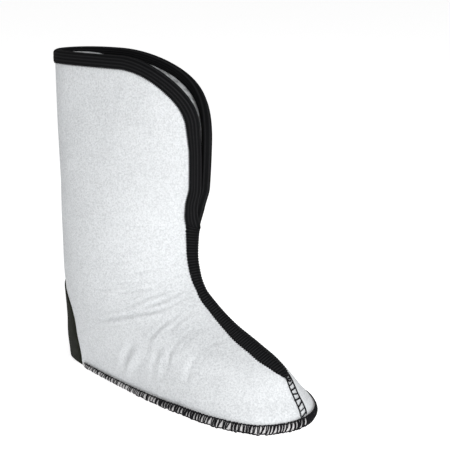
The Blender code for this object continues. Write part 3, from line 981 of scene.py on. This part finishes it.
@dataclass(frozen=True)
class SoleLine:
    """Lift and thickness of the sole's stitched edge along the foot, as the solids have them."""

    form: FootForm
    toe_lift: float = 0.0062
    edge_heel: float = 0.0052
    edge_toe: float = 0.0085
    proud: float = 0.0025
    arch_rise: float = 0.0012
    arch_middle: float = 0.44
    arch_spread: float = 0.085
    spring: float = 0.0022
    spring_start: float = 0.80
    rows: tuple[tuple[float, float, float], ...] = (
        (-0.05, 0.80, 0.00),
        (0.20, 0.62, 0.00),
        (0.40, 0.40, 0.25),
        (0.58, 0.60, 0.55),
        (0.72, 0.88, 0.85),
        (0.86, 0.80, 1.00),
        (0.96, 0.40, 1.00),
        (1.05, 0.30, 1.00),
    )

    def _column(self, index: int, x: Array) -> Array:
        """A column of the table at distances from the heel."""
        marks, values = (np.array([row[i] for row in self.rows]) for i in (0, index))
        return FootForm.smooth(marks, values, np.asarray(x) / self.form.foot_length)

    def lift(self, x: Array) -> Array:
        """Height of the edge's lower side."""
        return self._column(1, x) * self.toe_lift

    def edge(self, x: Array) -> Array:
        """Thickness of the edge."""
        return self.edge_heel + self._column(2, x) * (self.edge_toe - self.edge_heel)

    def joint(self, x: Array) -> Array:
        """Height of the seam between upper and sole."""
        return self.lift(x) + self.edge(x)

    def underside(self, x: Array) -> Array:
        """Height of the underside.

        Args:
            x: Distances from the heel.

        Returns:
            Heights above the floor, at nought under the heel and the ball.
        """
        share = np.asarray(x) / self.form.foot_length
        arch = self.arch_rise * np.exp(-(((share - self.arch_middle) / self.arch_spread) ** 2))
        toe = np.clip((share - self.spring_start) / (1.0 - self.spring_start), 0.0, None)
        return arch + self.spring * toe**2

    def outline(self, way: Array, out: Array | float) -> Array:
        """Points round the sole, seen from above.

        Args:
            way: Signed ways round.
            out: Distance out from the felt's outline.

        Returns:
            Points as rows of x, y and z, with z left at nought.
        """
        level = np.full(np.shape(way), self.edge_heel)
        normal = self.form.normal(level, way)
        normal[..., 2] = 0.0
        normal /= np.linalg.norm(normal, axis=-1, keepdims=True)
        points = self.form.plain(level, way) + normal * np.asarray(out)[..., None]
        points[..., 2] = 0.0
        return points + np.array([self.form.heel_x, self.form.middle_y, 0.0])


@dataclass
class FeltUpper(Piece):
    """The felt wall: white outside, grey inside, open at the collar and down the front."""

    form: FootForm
    line: SoleLine
    felt: bpy.types.Material
    lining: bpy.types.Material
    outer_grid: tuple[int, int] = (330, 184)
    inner_grid: tuple[int, int] = (160, 96)
    row_shares: tuple[float, float] = (0.62, 0.86)
    lateral_share: float = 0.60
    tuck: float = 0.0015
    seam_level: float = 0.010
    change_of_side: float = 0.3
    levels: int = 400
    rim_split: float = 0.05

    def _height(self, way: Array, up: Array) -> Array:
        """Height of a grid point: even up to the corner, then closer together.

        Args:
            way: Signed ways round.
            up: Shares of the way up the grid.

        Returns:
            Heights above the floor.
        """
        form = self.form
        seam = form.x_at(way, np.full(np.shape(way), self.seam_level))
        low = self.line.joint(seam) - self.tuck
        first, second = self.row_shares
        lateral, medial = form.corner_tall
        tall = lateral + (medial - lateral) * ramp(way, -self.change_of_side, self.change_of_side)
        bend = form.collar_height - tall
        foot = low + (form.slit_foot - low) * np.clip(up / first, 0.0, 1.0)
        slit = (bend - form.slit_foot) * np.clip((up - first) / (second - first), 0.0, 1.0)
        turn = 0.5 * math.pi * np.clip((up - second) / (1.0 - second), 0.0, 1.0)
        return foot + slit + tall * np.sin(turn)

    def _wall(self, out: float) -> Place:
        """Placing of a grid over one face of the wall.

        Args:
            out: Offset from the outer face.

        Returns:
            The function that the grid uses.
        """
        form = self.form
        levels = np.linspace(0.0, form.collar_height, self.levels)
        gap = np.where(levels > form.slit_foot, 0.5 * form.slit_gap, 0.0)
        meeting = form.meeting_way(levels, out, gap)
        if out == 0.0:
            meeting = np.where(levels > form.slit_foot, meeting, 1.0)

        def place(u: Array, v: Array) -> Array:
            """Points of one face, from edge to edge and from the sole up.

            Args:
                u: Shares of the way from the lateral edge to the medial one.
                v: Shares of the way up.

            Returns:
                Points as rows.
            """
            part = self.lateral_share
            way = np.where(u < part, u / part - 1.0, (u - part) / (1.0 - part))
            height = self._height(way, v)
            edge = form.way_at(form.edge_x(height, way), height)
            last = np.minimum(edge, np.interp(height, levels, meeting))
            points = form.skin(height, way * last, out)
            ridge = (np.abs(way) > 1.0 - TINY) & (height <= form.slit_foot + TINY)
            points[ridge, 1] = form.middle_y
            return points

        return place

    def build(self) -> None:
        """Make both faces of the wall and join them at the sole and along the edge."""
        bm = bmesh.new()
        size = (2.0 * self.form.foot_length, self.form.collar_height)
        faces = ((0.0, self.outer_grid, 0), (-self.form.felt, self.inner_grid, 1))
        for out, grid, material in faces:
            self.sheet(bm, *grid, self._wall(out), scale=size, material=material)
        bmesh.ops.remove_doubles(bm, verts=bm.verts, dist=WELD)
        rims = [edge for edge in bm.edges if edge.is_boundary]
        low = [e for e in rims if max(v.co.z for v in e.verts) < self.rim_split]
        high = [e for e in rims if min(v.co.z for v in e.verts) >= self.rim_split]
        for loop in (low, high):
            bridge = bmesh.ops.bridge_loops(bm, edges=loop)
            for face in bridge["faces"]:
                face.material_index = 0
        self.settle(bm, "upper_felt", (self.felt, self.lining), Slot.FELT, ("upper",))


@dataclass
class CollarBinding(Piece):
    """Knit tape folded over the felt's edge, up the slit, round the corners and the collar."""

    form: FootForm
    knit: bpy.types.Material
    widths: tuple[tuple[float, float], ...] = (
        # height above the floor, width of the tape's outer face
        (0.166, 0.0082),
        (0.185, 0.0068),
        (0.240, 0.0068),
        (0.300, 0.0100),
    )
    inner_share: float = 0.66
    thickness: float = 0.0012
    clearance: float = 0.0002
    fold: float = 0.0020
    steps: int = 900
    around: int = 34
    scallop: float = 0.0008
    scallop_pitch: float = 0.0021
    foot_gap: float = 0.0006
    halves_apart: float = 0.0004
    samples: tuple[int, int, int] = (60, 50, 90)
    turned: tuple[float, float] = (0.060, 0.085)
    leg: float = 0.36
    rim: float = 0.05
    puff: float = 0.00025
    rib: float = 0.0022
    rib_height: float = 0.00012

    def _edge(self, hand: int) -> tuple[Array, Array, Array, Array]:
        """The felt's edge from the slit's foot on one side to the middle of the heel.

        Args:
            hand: -1 for the lateral side, 1 for the medial side.

        Returns:
            Heights, distances from the heel, directions out of the felt as (x, z), and lengths.
        """
        form = self.form
        tall = float(form.corner_size(hand)[1])
        bend = form.collar_height - tall
        straight_count, turn_count, top_count = self.samples
        straight = np.linspace(form.slit_foot + self.foot_gap, bend, straight_count)[:-1]
        turn = np.linspace(0.0, 0.5 * math.pi, turn_count)
        round_z = bend + tall * np.sin(turn)
        height = np.concatenate([straight, round_z])
        x = form.edge_x(height, hand)
        back = form.column("back", form.collar_height)
        way_top = form.way_at(x[-1], form.collar_height)
        ways = np.linspace(way_top, 0.0, top_count)[1:]
        x_top = form.x_at(ways, np.full(ways.shape, form.collar_height))
        height = np.concatenate([height, np.full(ways.shape, form.collar_height)])
        x = np.concatenate([x, x_top])
        side = np.stack([np.gradient(x), np.gradient(height)], axis=-1)
        side /= np.maximum(np.linalg.norm(side, axis=-1, keepdims=True), ROUNDING)
        out = np.stack([side[:, 1], -side[:, 0]], axis=-1)
        out[x <= x_top[0] + ROUNDING] = (0.0, 1.0)
        points = form.plain(height, form.way_at(x, height))
        return height, np.maximum(x, back), out, run_lengths(points)

    def build(self) -> None:
        """Sweep a folded profile along the edge, from one slit edge round to the other."""
        form = self.form
        lines = {hand: self._edge(hand) for hand in (-1, 1)}
        total = max(line[3][-1] for line in lines.values())
        half = 0.5 * form.felt + self.clearance + 0.5 * self.thickness

        def place(u: Array, v: Array) -> Array:
            """Points round the section, all along the edge.

            Args:
                u: Shares of the way along the felt's edge.
                v: Shares of the way round the section.

            Returns:
                Points as rows.
            """
            side = np.where(u < 0.5, -1.0, 1.0)
            away = 1.0 - np.abs(2.0 * u - 1.0)
            found = []
            for hand in (-1, 1):
                height, x, out, length = lines[hand]
                along = away * length[-1]
                columns = (height, x, out[:, 0], out[:, 1])
                found.append([along] + [np.interp(along, length, column) for column in columns])
            along, z_edge, x_edge, n_x, n_z = (np.where(side < 0, *pair) for pair in zip(*found))
            wide = np.interp(z_edge, *zip(*self.widths))
            teeth = self.scallop * np.sin(TURN * along / self.scallop_pitch)
            inner, across, deep = self._profile(v, wide, teeth)
            z = z_edge + n_z * inner
            free = form.way_at(x_edge + n_x * inner, z)
            held = form.way_at(x_edge, np.full(x_edge.shape, form.collar_height))
            on_top = 1.0 - ramp(x_edge, *self.turned)
            way = free * (1.0 - on_top) + held * on_top
            points = form.skin(z, side * way, -0.5 * form.felt + across * half + deep)
            least = form.middle_y + side * self.halves_apart
            y = points[:, 1]
            points[:, 1] = np.where(side > 0, np.maximum(y, least), np.minimum(y, least))
            return points

        bm = bmesh.new()
        scale = (2.0 * total, 2.0 * (2.0 * self.widths[-1][1] + form.felt))
        self.sheet(bm, self.steps, self.around, place, tube=True, scale=scale)
        self.close(bm)
        self.settle(bm, "collar_knit", (self.knit,), Slot.KNIT, ("collar_binding",))

    def _profile(self, v: Array, wide: Array, teeth: Array) -> tuple[Array, Array, Array]:
        """The folded tape's closed section.

        Args:
            v: Share of the way round the section: out over the fold and back inside it.
            wide: Width of the tape's faces.
            teeth: How far the tape's edges reach past their width.

        Returns:
            Distance past the felt's edge, side of the felt from 1 outside to -1 inside,
            and distance off the tape's middle layer.
        """
        leg = self.leg
        skin_half = v < 0.5
        s = np.where(skin_half, v * 2.0, (1.0 - v) * 2.0)
        lower = np.clip(s / leg, 0.0, 1.0)
        upper = np.clip((1.0 - s) / leg, 0.0, 1.0)
        turn = np.clip((s - leg) / (1.0 - 2.0 * leg), 0.0, 1.0) * math.pi
        inside = -(wide + teeth) * self.inner_share * (1.0 - upper)
        past = np.where(s > 1.0 - leg, inside, self.fold * np.sin(turn))
        past = np.where(s < leg, -(wide + teeth) * (1.0 - lower), past)
        across = np.where(s < leg, 1.0, np.where(s > 1.0 - leg, -1.0, np.cos(turn)))
        layer = np.where(skin_half, 0.5, -0.5) * self.thickness
        edge = rounded(np.minimum(s, 1.0 - s) / self.rim)
        puff = self.puff * np.sin(math.pi * np.minimum(lower, upper)) * skin_half
        ribs = self.rib_height * np.cos(TURN * past / self.rib) * skin_half
        deep = across * (layer + puff + ribs) * edge
        past = past + np.where((s >= leg) & (s <= 1.0 - leg), layer * np.sin(turn), 0.0)
        return past, across, deep


@dataclass
class VampTape(Piece):
    """Ribbed knit tape over the front ridge, from the slit's foot to the toe seam."""

    form: FootForm
    knit: bpy.types.Material
    width: float = 0.0086
    end: float = 0.0455
    thickness: float = 0.0021
    clearance: float = 0.0002
    rows: tuple[tuple[float, float], ...] = (
        # up as a share of the way to the slit's foot, width as a share
        (0.00, 0.16),
        (0.05, 0.38),
        (0.15, 0.58),
        (0.40, 0.61),
        (0.52, 0.63),
        (0.63, 0.76),
        (0.75, 0.81),
        (0.87, 0.88),
        (1.00, 1.00),
    )
    rib: float = 0.0026
    rib_height: float = 0.00032
    rib_swell: float = 0.05
    crown: int = 8
    foot_gap: float = 0.0003
    samples: int = 200
    steps: int = 440
    around: int = 36

    def build(self) -> None:
        """Sweep a flat crowned profile along the ridge."""
        form = self.form
        rise = form.height_step
        z = np.linspace(form.slit_foot + self.foot_gap, self.end, self.samples)
        front = form.column("front", z)
        slope = (form.column("front", z + rise) - form.column("front", z - rise)) / (2.0 * rise)
        across = np.stack([-np.ones(z.shape), slope], axis=-1)
        across /= np.linalg.norm(across, axis=-1, keepdims=True)
        length = run_lengths(np.stack([front, z], axis=-1))
        total = length[-1]
        up, share = (np.array(column) for column in zip(*self.rows))
        widths = self.width * FootForm.smooth(up, share, (z - self.end) / (z[0] - self.end))

        def place(u: Array, v: Array) -> Array:
            """Points down the ridge and round the tape.

            Args:
                u: Shares of the way down.
                v: Shares of the way round the tape.

            Returns:
                Points as rows.
            """
            top, w = there_and_back(v)
            along = u * total
            z_ridge = np.interp(along, length, z)
            x_ridge = np.interp(along, length, front)
            a_x = np.interp(along, length, across[:, 0])
            a_z = np.interp(along, length, across[:, 1])
            ribs = np.cos(TURN * along / self.rib)
            wide = np.interp(along, length, widths) * (1.0 + self.rib_swell * ribs) * np.abs(w)
            height = z_ridge + a_z * wide
            way = form.way_at(x_ridge + a_x * wide, height)
            side = np.where(w < 0.0, -1.0, 1.0)
            crown = np.sqrt(np.clip(1.0 - w**self.crown, 0.0, 1.0))
            out = self.clearance + top * crown * (self.thickness + self.rib_height * ribs)
            made = form.skin(height, side * way, out)
            made[np.abs(w) < TINY, 1] = form.middle_y
            return made

        bm = bmesh.new()
        self.sheet(bm, self.steps, self.around, place, tube=True, scale=(total, 4.0 * self.width))
        self.close(bm)
        self.settle(bm, "vamp_knit", (self.knit,), Slot.RIBBED, ("vamp_binding",))


@dataclass
class HeelPatch(Piece):
    """Black cloth patch round the back of the heel, turned under the sole's edge."""

    form: FootForm
    line: SoleLine
    cloth: bpy.types.Material
    reach: float = 0.0430
    height: float = 0.0970
    thickness: float = 0.0012
    clearance: float = 0.0002
    rows: tuple[tuple[float, float], ...] = (
        # up as a share of the height, reach as a share
        (0.00, 0.93), (0.27, 1.00), (0.46, 0.97), (0.66, 0.88), (0.83, 0.62), (1.00, 0.04))
    grid: tuple[int, int] = (70, 120)
    rim: float = 0.05
    bottom_rim: float = 8.0
    top_rim: float = 12.0

    def build(self) -> None:
        """Lay a grid over the heel between the patch's two front edges."""
        form = self.form
        low = float(self.line.lift(np.array(0.0)))
        marks, shares = (np.array(column) for column in zip(*self.rows))

        def place(u: Array, v: Array) -> Array:
            """Points up the heel and round the cloth.

            Args:
                u: Shares of the way up.
                v: Shares of the way round the cloth.

            Returns:
                Points as rows.
            """
            top, w = there_and_back(v)
            z = low + (self.height - low) * u
            edge = FootForm.smooth(marks, shares, u) * self.reach
            ends = np.minimum(u * self.bottom_rim, (1.0 - u) * self.top_rim)
            crown = rounded(np.minimum(1.0 - np.abs(w), ends) / self.rim)
            out = self.clearance + top * crown * self.thickness
            return form.skin(z, form.way_at(edge, z) * w, out)

        bm = bmesh.new()
        self.sheet(bm, *self.grid, place, tube=True, scale=(self.height, 4.0 * self.reach))
        self.close(bm)
        self.settle(bm, "heel_cloth", (self.cloth,), Slot.PATCH, ("heel_patch",))


@dataclass
class FeltSole(Piece):
    """The felt sole: a proud edge, a rounded underside and the footbed inside."""

    form: FootForm
    line: SoleLine
    felt: bpy.types.Material
    lining: bpy.types.Material
    patch_reach: float = 0.0430
    inset: float = 0.0150
    columns: int = 300
    profile: tuple[tuple[float, float, float], ...] = (
        # out as a share of the proud edge, in as a share of the inset, height share
        (-2.6, 0.0, 1.00),
        (-1.0, 0.0, 1.00),
        (0.55, 0.0, 0.99),
        (1.00, 0.0, 0.88),
        (1.30, 0.0, 0.66),
        (1.36, 0.0, 0.44),
        (1.15, 0.0, 0.20),
        (0.75, 0.0, 0.04),
    )
    under: tuple[tuple[float, float, float], ...] = (
        # the same, with the height as a share of the lift over the underside
        (0.40, 0.10, 0.90),
        (0.20, 0.22, 0.62),
        (0.00, 0.42, 0.30),
        (0.00, 0.70, 0.10),
        (0.00, 1.00, 0.00),
    )
    bare_from: tuple[float, float] = (0.0006, 0.0056)
    profile_length: float = 0.03

    def build(self) -> None:
        """Make the edge and the underside as rings, and close both flats across."""
        line = self.line
        profile, under = np.array(self.profile), np.array(self.under)
        total = len(profile) + len(under)
        bare_start, bare_end = (self.patch_reach + part for part in self.bare_from)

        def place(u: Array, v: Array) -> Array:
            """Points round the sole, ring by ring from the seam down.

            Args:
                u: Shares of the way round the sole.
                v: Shares of the way down the rings.

            Returns:
                Points as rows.
            """
            way = 2.0 * u - 1.0
            at = np.rint(v * (total - 1)).astype(int)
            base = line.outline(way, np.zeros(way.shape))
            x = base[:, 0] - self.form.heel_x
            bare = ramp(x, bare_start, bare_end)
            lift, edge, floor = line.lift(x), line.edge(x), line.underside(x)
            on_edge = at < len(profile)
            high = profile[np.minimum(at, len(profile) - 1)]
            low = under[np.clip(at - len(profile), 0, len(under) - 1)]
            proud = high[:, 0] * line.proud * np.where(high[:, 0] > 0, bare, 1.0)
            out = np.where(on_edge, proud, low[:, 0] * line.proud * bare - low[:, 1] * self.inset)
            z = np.where(on_edge, lift + high[:, 2] * edge, floor + low[:, 2] * (lift - floor))
            points = line.outline(way, out)
            points[:, 2] = z
            return points

        bm = bmesh.new()
        scale = (2.0 * self.form.foot_length, self.profile_length)
        self.sheet(bm, self.columns, total - 1, place, scale=scale)
        bmesh.ops.remove_doubles(bm, verts=bm.verts, dist=WELD)
        rim = [edge for edge in bm.edges if edge.is_boundary]
        middle = sum(edge.verts[0].co.z for edge in rim) / len(rim)
        self.close(bm, [edge for edge in rim if edge.verts[0].co.z < middle], 0)
        self.close(bm, material=1)
        self.settle(bm, "sole_felt", (self.felt, self.lining), Slot.SOLE, ("sole",))


@dataclass
class EdgeStitches(Piece):
    """Overlock stitches of black thread round the sole's edge, denser at the forefoot."""

    form: FootForm
    line: SoleLine
    thread_finish: bpy.types.Material
    pitch: float = 0.0046
    radius: float = 0.00046
    patch_reach: float = 0.0430
    patch_gap: float = 0.003
    forefoot: tuple[float, float] = (0.10, 0.23)
    closer: float = 0.25
    thicker: float = 0.20
    pitch_range: tuple[float, float] = (0.75, 1.3)
    slant_range: tuple[float, float] = (0.25, 1.25)
    second_chance: tuple[float, float] = (0.35, 0.65)
    second_place: tuple[float, float] = (0.45, 0.6)
    top_level: float = -0.05
    low_level: tuple[float, float] = (0.72, 0.9)
    stitch_end: tuple[float, float] = (0.80, 1.0)
    stitch_bend: float = 0.0005
    stitch_radius: tuple[float, float] = (0.85, 1.15)
    loop_overlap: float = 0.08
    loop_sag: float = 0.10
    loop_range: tuple[float, float] = (0.4, 1.4)
    loop_radius: tuple[float, float] = (0.95, 1.25)
    bulge: tuple[float, float] = (0.35, 1.05)
    bulge_span: tuple[float, float] = (0.12, 0.8)
    level: tuple[float, float] = (1.04, 1.06)
    stitch_lift: float = 0.5
    loop_lift: float = 0.6
    points: int = 7
    samples: int = 1600
    seed: int = 7

    def build(self) -> None:
        """Lay looped lines along the edge and slanted stitches over its face."""
        draw = np.random.default_rng(self.seed)
        way = np.linspace(-1.0, 1.0, self.samples)
        outline = self.line.outline(way, np.full(way.shape, self.line.proud))
        x_at = outline[:, 0] - self.form.heel_x
        length = run_lengths(outline)
        arc = (way, length)
        chance, added_chance = self.second_chance
        shift, share = self.second_place
        bm = bmesh.new()
        start = 0.0
        while start < length[-1]:
            dense = float(ramp(np.interp(start, length, x_at), *self.forefoot))
            step = self.pitch * (1.0 - self.closer * dense) * draw.uniform(*self.pitch_range)
            middle = float(np.interp(start + 0.5 * step, length, x_at))
            size = self.radius * (1.0 + self.thicker * dense)
            if middle > self.patch_reach + self.patch_gap:
                slant = step * draw.uniform(*self.slant_range)
                self._stitch(bm, arc, start, slant, size, draw)
                if draw.uniform() < chance + added_chance * dense:
                    self._stitch(bm, arc, start + shift * step, share * slant, size, draw)
                self._loop(bm, arc, start, step, self.top_level, size, draw)
                if draw.uniform() < dense:
                    self._loop(bm, arc, start, step, draw.uniform(*self.low_level), size, draw)
            start += step
        self.settle(bm, "edge_stitches", (self.thread_finish,), Slot.KNIT)

    def _over(self, arc: tuple[Array, Array], along: Array, down: Array, raised: float) -> Array:
        """Points over the sole's edge.

        Args:
            arc: Ways round and lengths at the samples of the outline.
            along: Lengths of the wanted points.
            down: 0 at the edge's top and 1 at its lower side.
            raised: Distance off the felt.

        Returns:
            Points as rows.
        """
        line = self.line
        at = np.interp(np.mod(along, arc[1][-1]), arc[1], arc[0])
        x = line.outline(at, np.zeros(at.shape))[:, 0] - self.form.heel_x
        span_start, span = self.bulge_span
        bulge_least, bulge_more = self.bulge
        top, drop = self.level
        bulge = np.sin(math.pi * np.clip(down * span + span_start, 0.0, 1.0))
        points = line.outline(at, line.proud * (bulge_least + bulge_more * bulge) + raised)
        points[:, 2] = line.lift(x) + line.edge(x) * (top - drop * down)
        return points

    def _stitch(self, bm: bmesh.types.BMesh, arc: tuple[Array, Array], start: float,
                slant: float, size: float, draw: np.random.Generator) -> None:
        """Add one slanted stitch over the edge.

        Args:
            bm: Mesh under construction.
            arc: Ways round and lengths at the samples of the outline.
            start: Length at which the stitch starts.
            slant: How far along it runs on its way down.
            size: Radius of the thread.
            draw: Source of random numbers.
        """
        down = np.linspace(self.top_level, draw.uniform(*self.stitch_end), self.points)
        sway = np.sin(math.pi * np.linspace(0.0, 1.0, self.points))
        bend = draw.uniform(-self.stitch_bend, self.stitch_bend) * sway
        path = self._over(arc, start + slant * down + bend, down, self.stitch_lift * size)
        self.thread(bm, path, size * draw.uniform(*self.stitch_radius))

    def _loop(self, bm: bmesh.types.BMesh, arc: tuple[Array, Array], start: float, step: float,
              level: float, size: float, draw: np.random.Generator) -> None:
        """Add one loop of a line along the edge.

        Args:
            bm: Mesh under construction.
            arc: Ways round and lengths at the samples of the outline.
            start: Length at which the loop starts.
            step: The loop's length.
            level: The line's place, 0 at the edge's top and 1 at its lower side.
            size: Radius of the thread.
            draw: Source of random numbers.
        """
        share = np.linspace(-self.loop_overlap, 1.0 + self.loop_overlap, self.points)
        sag = self.loop_sag * np.sin(math.pi * share) * draw.uniform(*self.loop_range)
        path = self._over(arc, start + step * share, level + sag, self.loop_lift * size)
        self.thread(bm, path, size * draw.uniform(*self.loop_radius))


@dataclass
class ToeSeam(Piece):
    """Ladder of thread down the toe ridge, with loose loops at its top."""

    form: FootForm
    line: SoleLine
    thread_finish: bpy.types.Material
    top: float = 0.0450
    half: float = 0.0042
    shift: float = 0.0030
    toe_share: float = 0.98
    rail_points: int = 26
    rail_wave: tuple[float, float] = (0.0003, 9.0)
    rungs: int = 8
    rung_points: int = 9
    first_rung: float = 0.6
    rung_slant: float = 0.0014
    rung_reach: tuple[float, float] = (1.0, 1.25)
    rung_radius: tuple[float, float] = (0.8, 1.3)
    loops: int = 3
    loop_points: int = 16
    loop_turn: float = 1.7
    loop_size: tuple[float, float] = (0.0016, 0.0028)
    loop_rise: tuple[float, float] = (-0.002, 0.003)
    loop_off: tuple[float, float] = (-0.002, 0.002)
    loop_lift: float = 0.0012
    loop_radius: float = 0.8
    foot_gap: float = 0.001
    radius: float = 0.00062
    raised: float = 0.0008
    seed: int = 3

    def build(self) -> None:
        """Lay two rails, the rungs between them and the loose loops."""
        draw = np.random.default_rng(self.seed)
        low = float(self.line.joint(np.array(self.toe_share * self.form.foot_length)))
        bm = bmesh.new()
        heights = np.linspace(self.top, low + self.foot_gap, self.rail_points)
        depth, turns = self.rail_wave
        for side in (-1, 1):
            wave = depth * np.sin(np.linspace(0.0, turns, self.rail_points) + side)
            off = self.shift + side * (self.half + wave)
            self.thread(bm, self._at(heights, off, self.raised), self.radius)
        for i in range(self.rungs):
            z = self.top - (self.top - low) * (i + self.first_rung) / self.rungs
            slant = draw.uniform(-self.rung_slant, self.rung_slant)
            w = np.linspace(-self.half, self.half, self.rung_points) * draw.uniform(*self.rung_reach)
            path = self._at(z + slant * w / self.half, self.shift + w, self.raised)
            self.thread(bm, path, self.radius * draw.uniform(*self.rung_radius))
        turn = np.linspace(0.0, self.loop_turn * math.pi, self.loop_points)
        for _ in range(self.loops):
            size = draw.uniform(*self.loop_size)
            height = self.top + draw.uniform(*self.loop_rise) + size * np.sin(turn)
            off = draw.uniform(*self.loop_off) + size * np.cos(turn)
            lift = self.loop_lift * (1.0 + np.sin(0.5 * turn))
            self.thread(bm, self._at(height, off, lift), self.radius * self.loop_radius)
        self.settle(bm, "toe_stitches", (self.thread_finish,), Slot.KNIT)

    def _at(self, height: Array, off: Array, out: Array | float) -> Array:
        """Points beside the ridge.

        Args:
            height: Heights above the floor.
            off: Signed distances from the ridge.
            out: Distances off the felt.

        Returns:
            Points as rows.
        """
        way = self.form.meeting_way(height, 0.0, np.abs(off))
        return self.form.skin(height, np.where(off < 0.0, -1.0, 1.0) * way, out)


@dataclass(frozen=True)
class Lamp:
    """A soft round light that faces a target; power in watts."""

    name: str
    place: tuple[float, float, float]
    target: tuple[float, float, float]
    size: float
    power: float

    def build(self) -> None:
        """Add the light."""
        data = bpy.data.lights.new(self.name, "AREA")
        data.shape = "DISK"
        data.size = self.size
        data.energy = self.power
        light = bpy.data.objects.new(self.name, data)
        light.location = self.place
        light.rotation_mode = "QUATERNION"
        ahead = Vector(self.target) - Vector(self.place)
        light.rotation_quaternion = ahead.to_track_quat("-Z", "Y")
        bpy.context.scene.collection.objects.link(light)


@dataclass
class Studio:
    """Camera at the photograph's angle, a pale floor and soft lights."""

    azimuth: float = 41.0
    pitch: float = 13.3
    focal: float = 1180.9
    place: tuple[float, float, float] = (0.7478, -0.7909, 0.4222)
    sensor: float = 36.0
    sight: tuple[float, float] = (0.05, 50.0)
    backdrop: float = 0.37
    floor_glow: float = 0.62
    floor_radius: float = 30.0
    lamps: tuple[Lamp, ...] = (
        Lamp("key", (2.4, -1.6, 2.7), (0.0, 0.0, 0.12), 2.0, 76.0),
        Lamp("fill", (0.62, -0.30, 0.14), (0.12, 0.0, 0.03), 0.2, 1.7),
    )

    def build(self) -> None:
        """Set up the camera, the floor, the lights and the backdrop."""
        self._camera()
        self._floor()
        for lamp in self.lamps:
            lamp.build()
        self._backdrop()

    def _camera(self) -> None:
        """Set the camera as it was fitted to the photograph."""
        data = bpy.data.cameras.new("camera")
        data.sensor_width = self.sensor
        data.lens = self.focal / PHOTO_SIDE * self.sensor
        data.clip_start, data.clip_end = self.sight
        camera = bpy.data.objects.new("camera", data)
        turn, tilt = math.radians(self.azimuth), math.radians(self.pitch)
        level = math.cos(tilt)
        ahead = Vector((-math.sin(turn) * level, math.cos(turn) * level, -math.sin(tilt)))
        camera.rotation_mode = "QUATERNION"
        camera.location = self.place
        camera.rotation_quaternion = ahead.to_track_quat("-Z", "Y")
        bpy.context.scene.collection.objects.link(camera)
        bpy.context.scene.camera = camera

    def _floor(self) -> None:
        """Lay a plain pale floor."""
        bm = bmesh.new()
        bmesh.ops.create_circle(bm, cap_ends=True, segments=64, radius=self.floor_radius)
        mesh = bpy.data.meshes.new("floor")
        bm.to_mesh(mesh)
        bm.free()
        mesh.materials.append(Paint("floor").finish(
            base_color=(0.93, 0.93, 0.93), roughness=0.9, specular_ior_level=0.1,
            emission_color=(1.0, 1.0, 1.0), emission_strength=self.floor_glow))
        floor = bpy.data.objects.new("floor", mesh)
        bpy.context.scene.collection.objects.link(floor)

    def _backdrop(self) -> None:
        """Light the scene evenly from all round, and keep white as white."""
        scene = bpy.context.scene
        world = bpy.data.worlds.new("studio")
        world.use_nodes = True
        ground = world.node_tree.nodes["Background"]
        ground.inputs["Color"].default_value = (1.0, 1.0, 1.0, 1.0)
        ground.inputs["Strength"].default_value = self.backdrop
        scene.world = world
        scene.view_settings.view_transform = "Standard"
        scene.view_settings.look = "None"


def main() -> None:
    """Build every sub-assembly in order."""
    logging.basicConfig(level=logging.INFO, format="%(name)s %(message)s")
    form = FootForm()
    line = SoleLine(form)
    felt = FeltFinish().material()
    lining = FeltFinish(
        name="lining", light=(0.14, 0.134, 0.138), dark=(0.085, 0.082, 0.085)).material()
    under = FeltFinish(name="under", light=(0.58, 0.57, 0.57), dark=(0.36, 0.35, 0.36)).material()
    knit = KnitFinish().material()
    ribbed = KnitFinish(name="ribbed", along=False, rib=0.0026).material()
    cloth = ClothFinish().material()
    thread = ThreadFinish().material()
    pieces: list[Piece] = [
        FeltUpper(form, line, felt, lining),
        FeltSole(form, line, under, lining),
        CollarBinding(form, knit),
        VampTape(form, ribbed),
        HeelPatch(form, line, cloth),
        EdgeStitches(form, line, thread),
        ToeSeam(form, line, thread),
    ]
    for piece in pieces:
        piece.build()
    Studio().build()


if __name__ == "__main__":
    main()
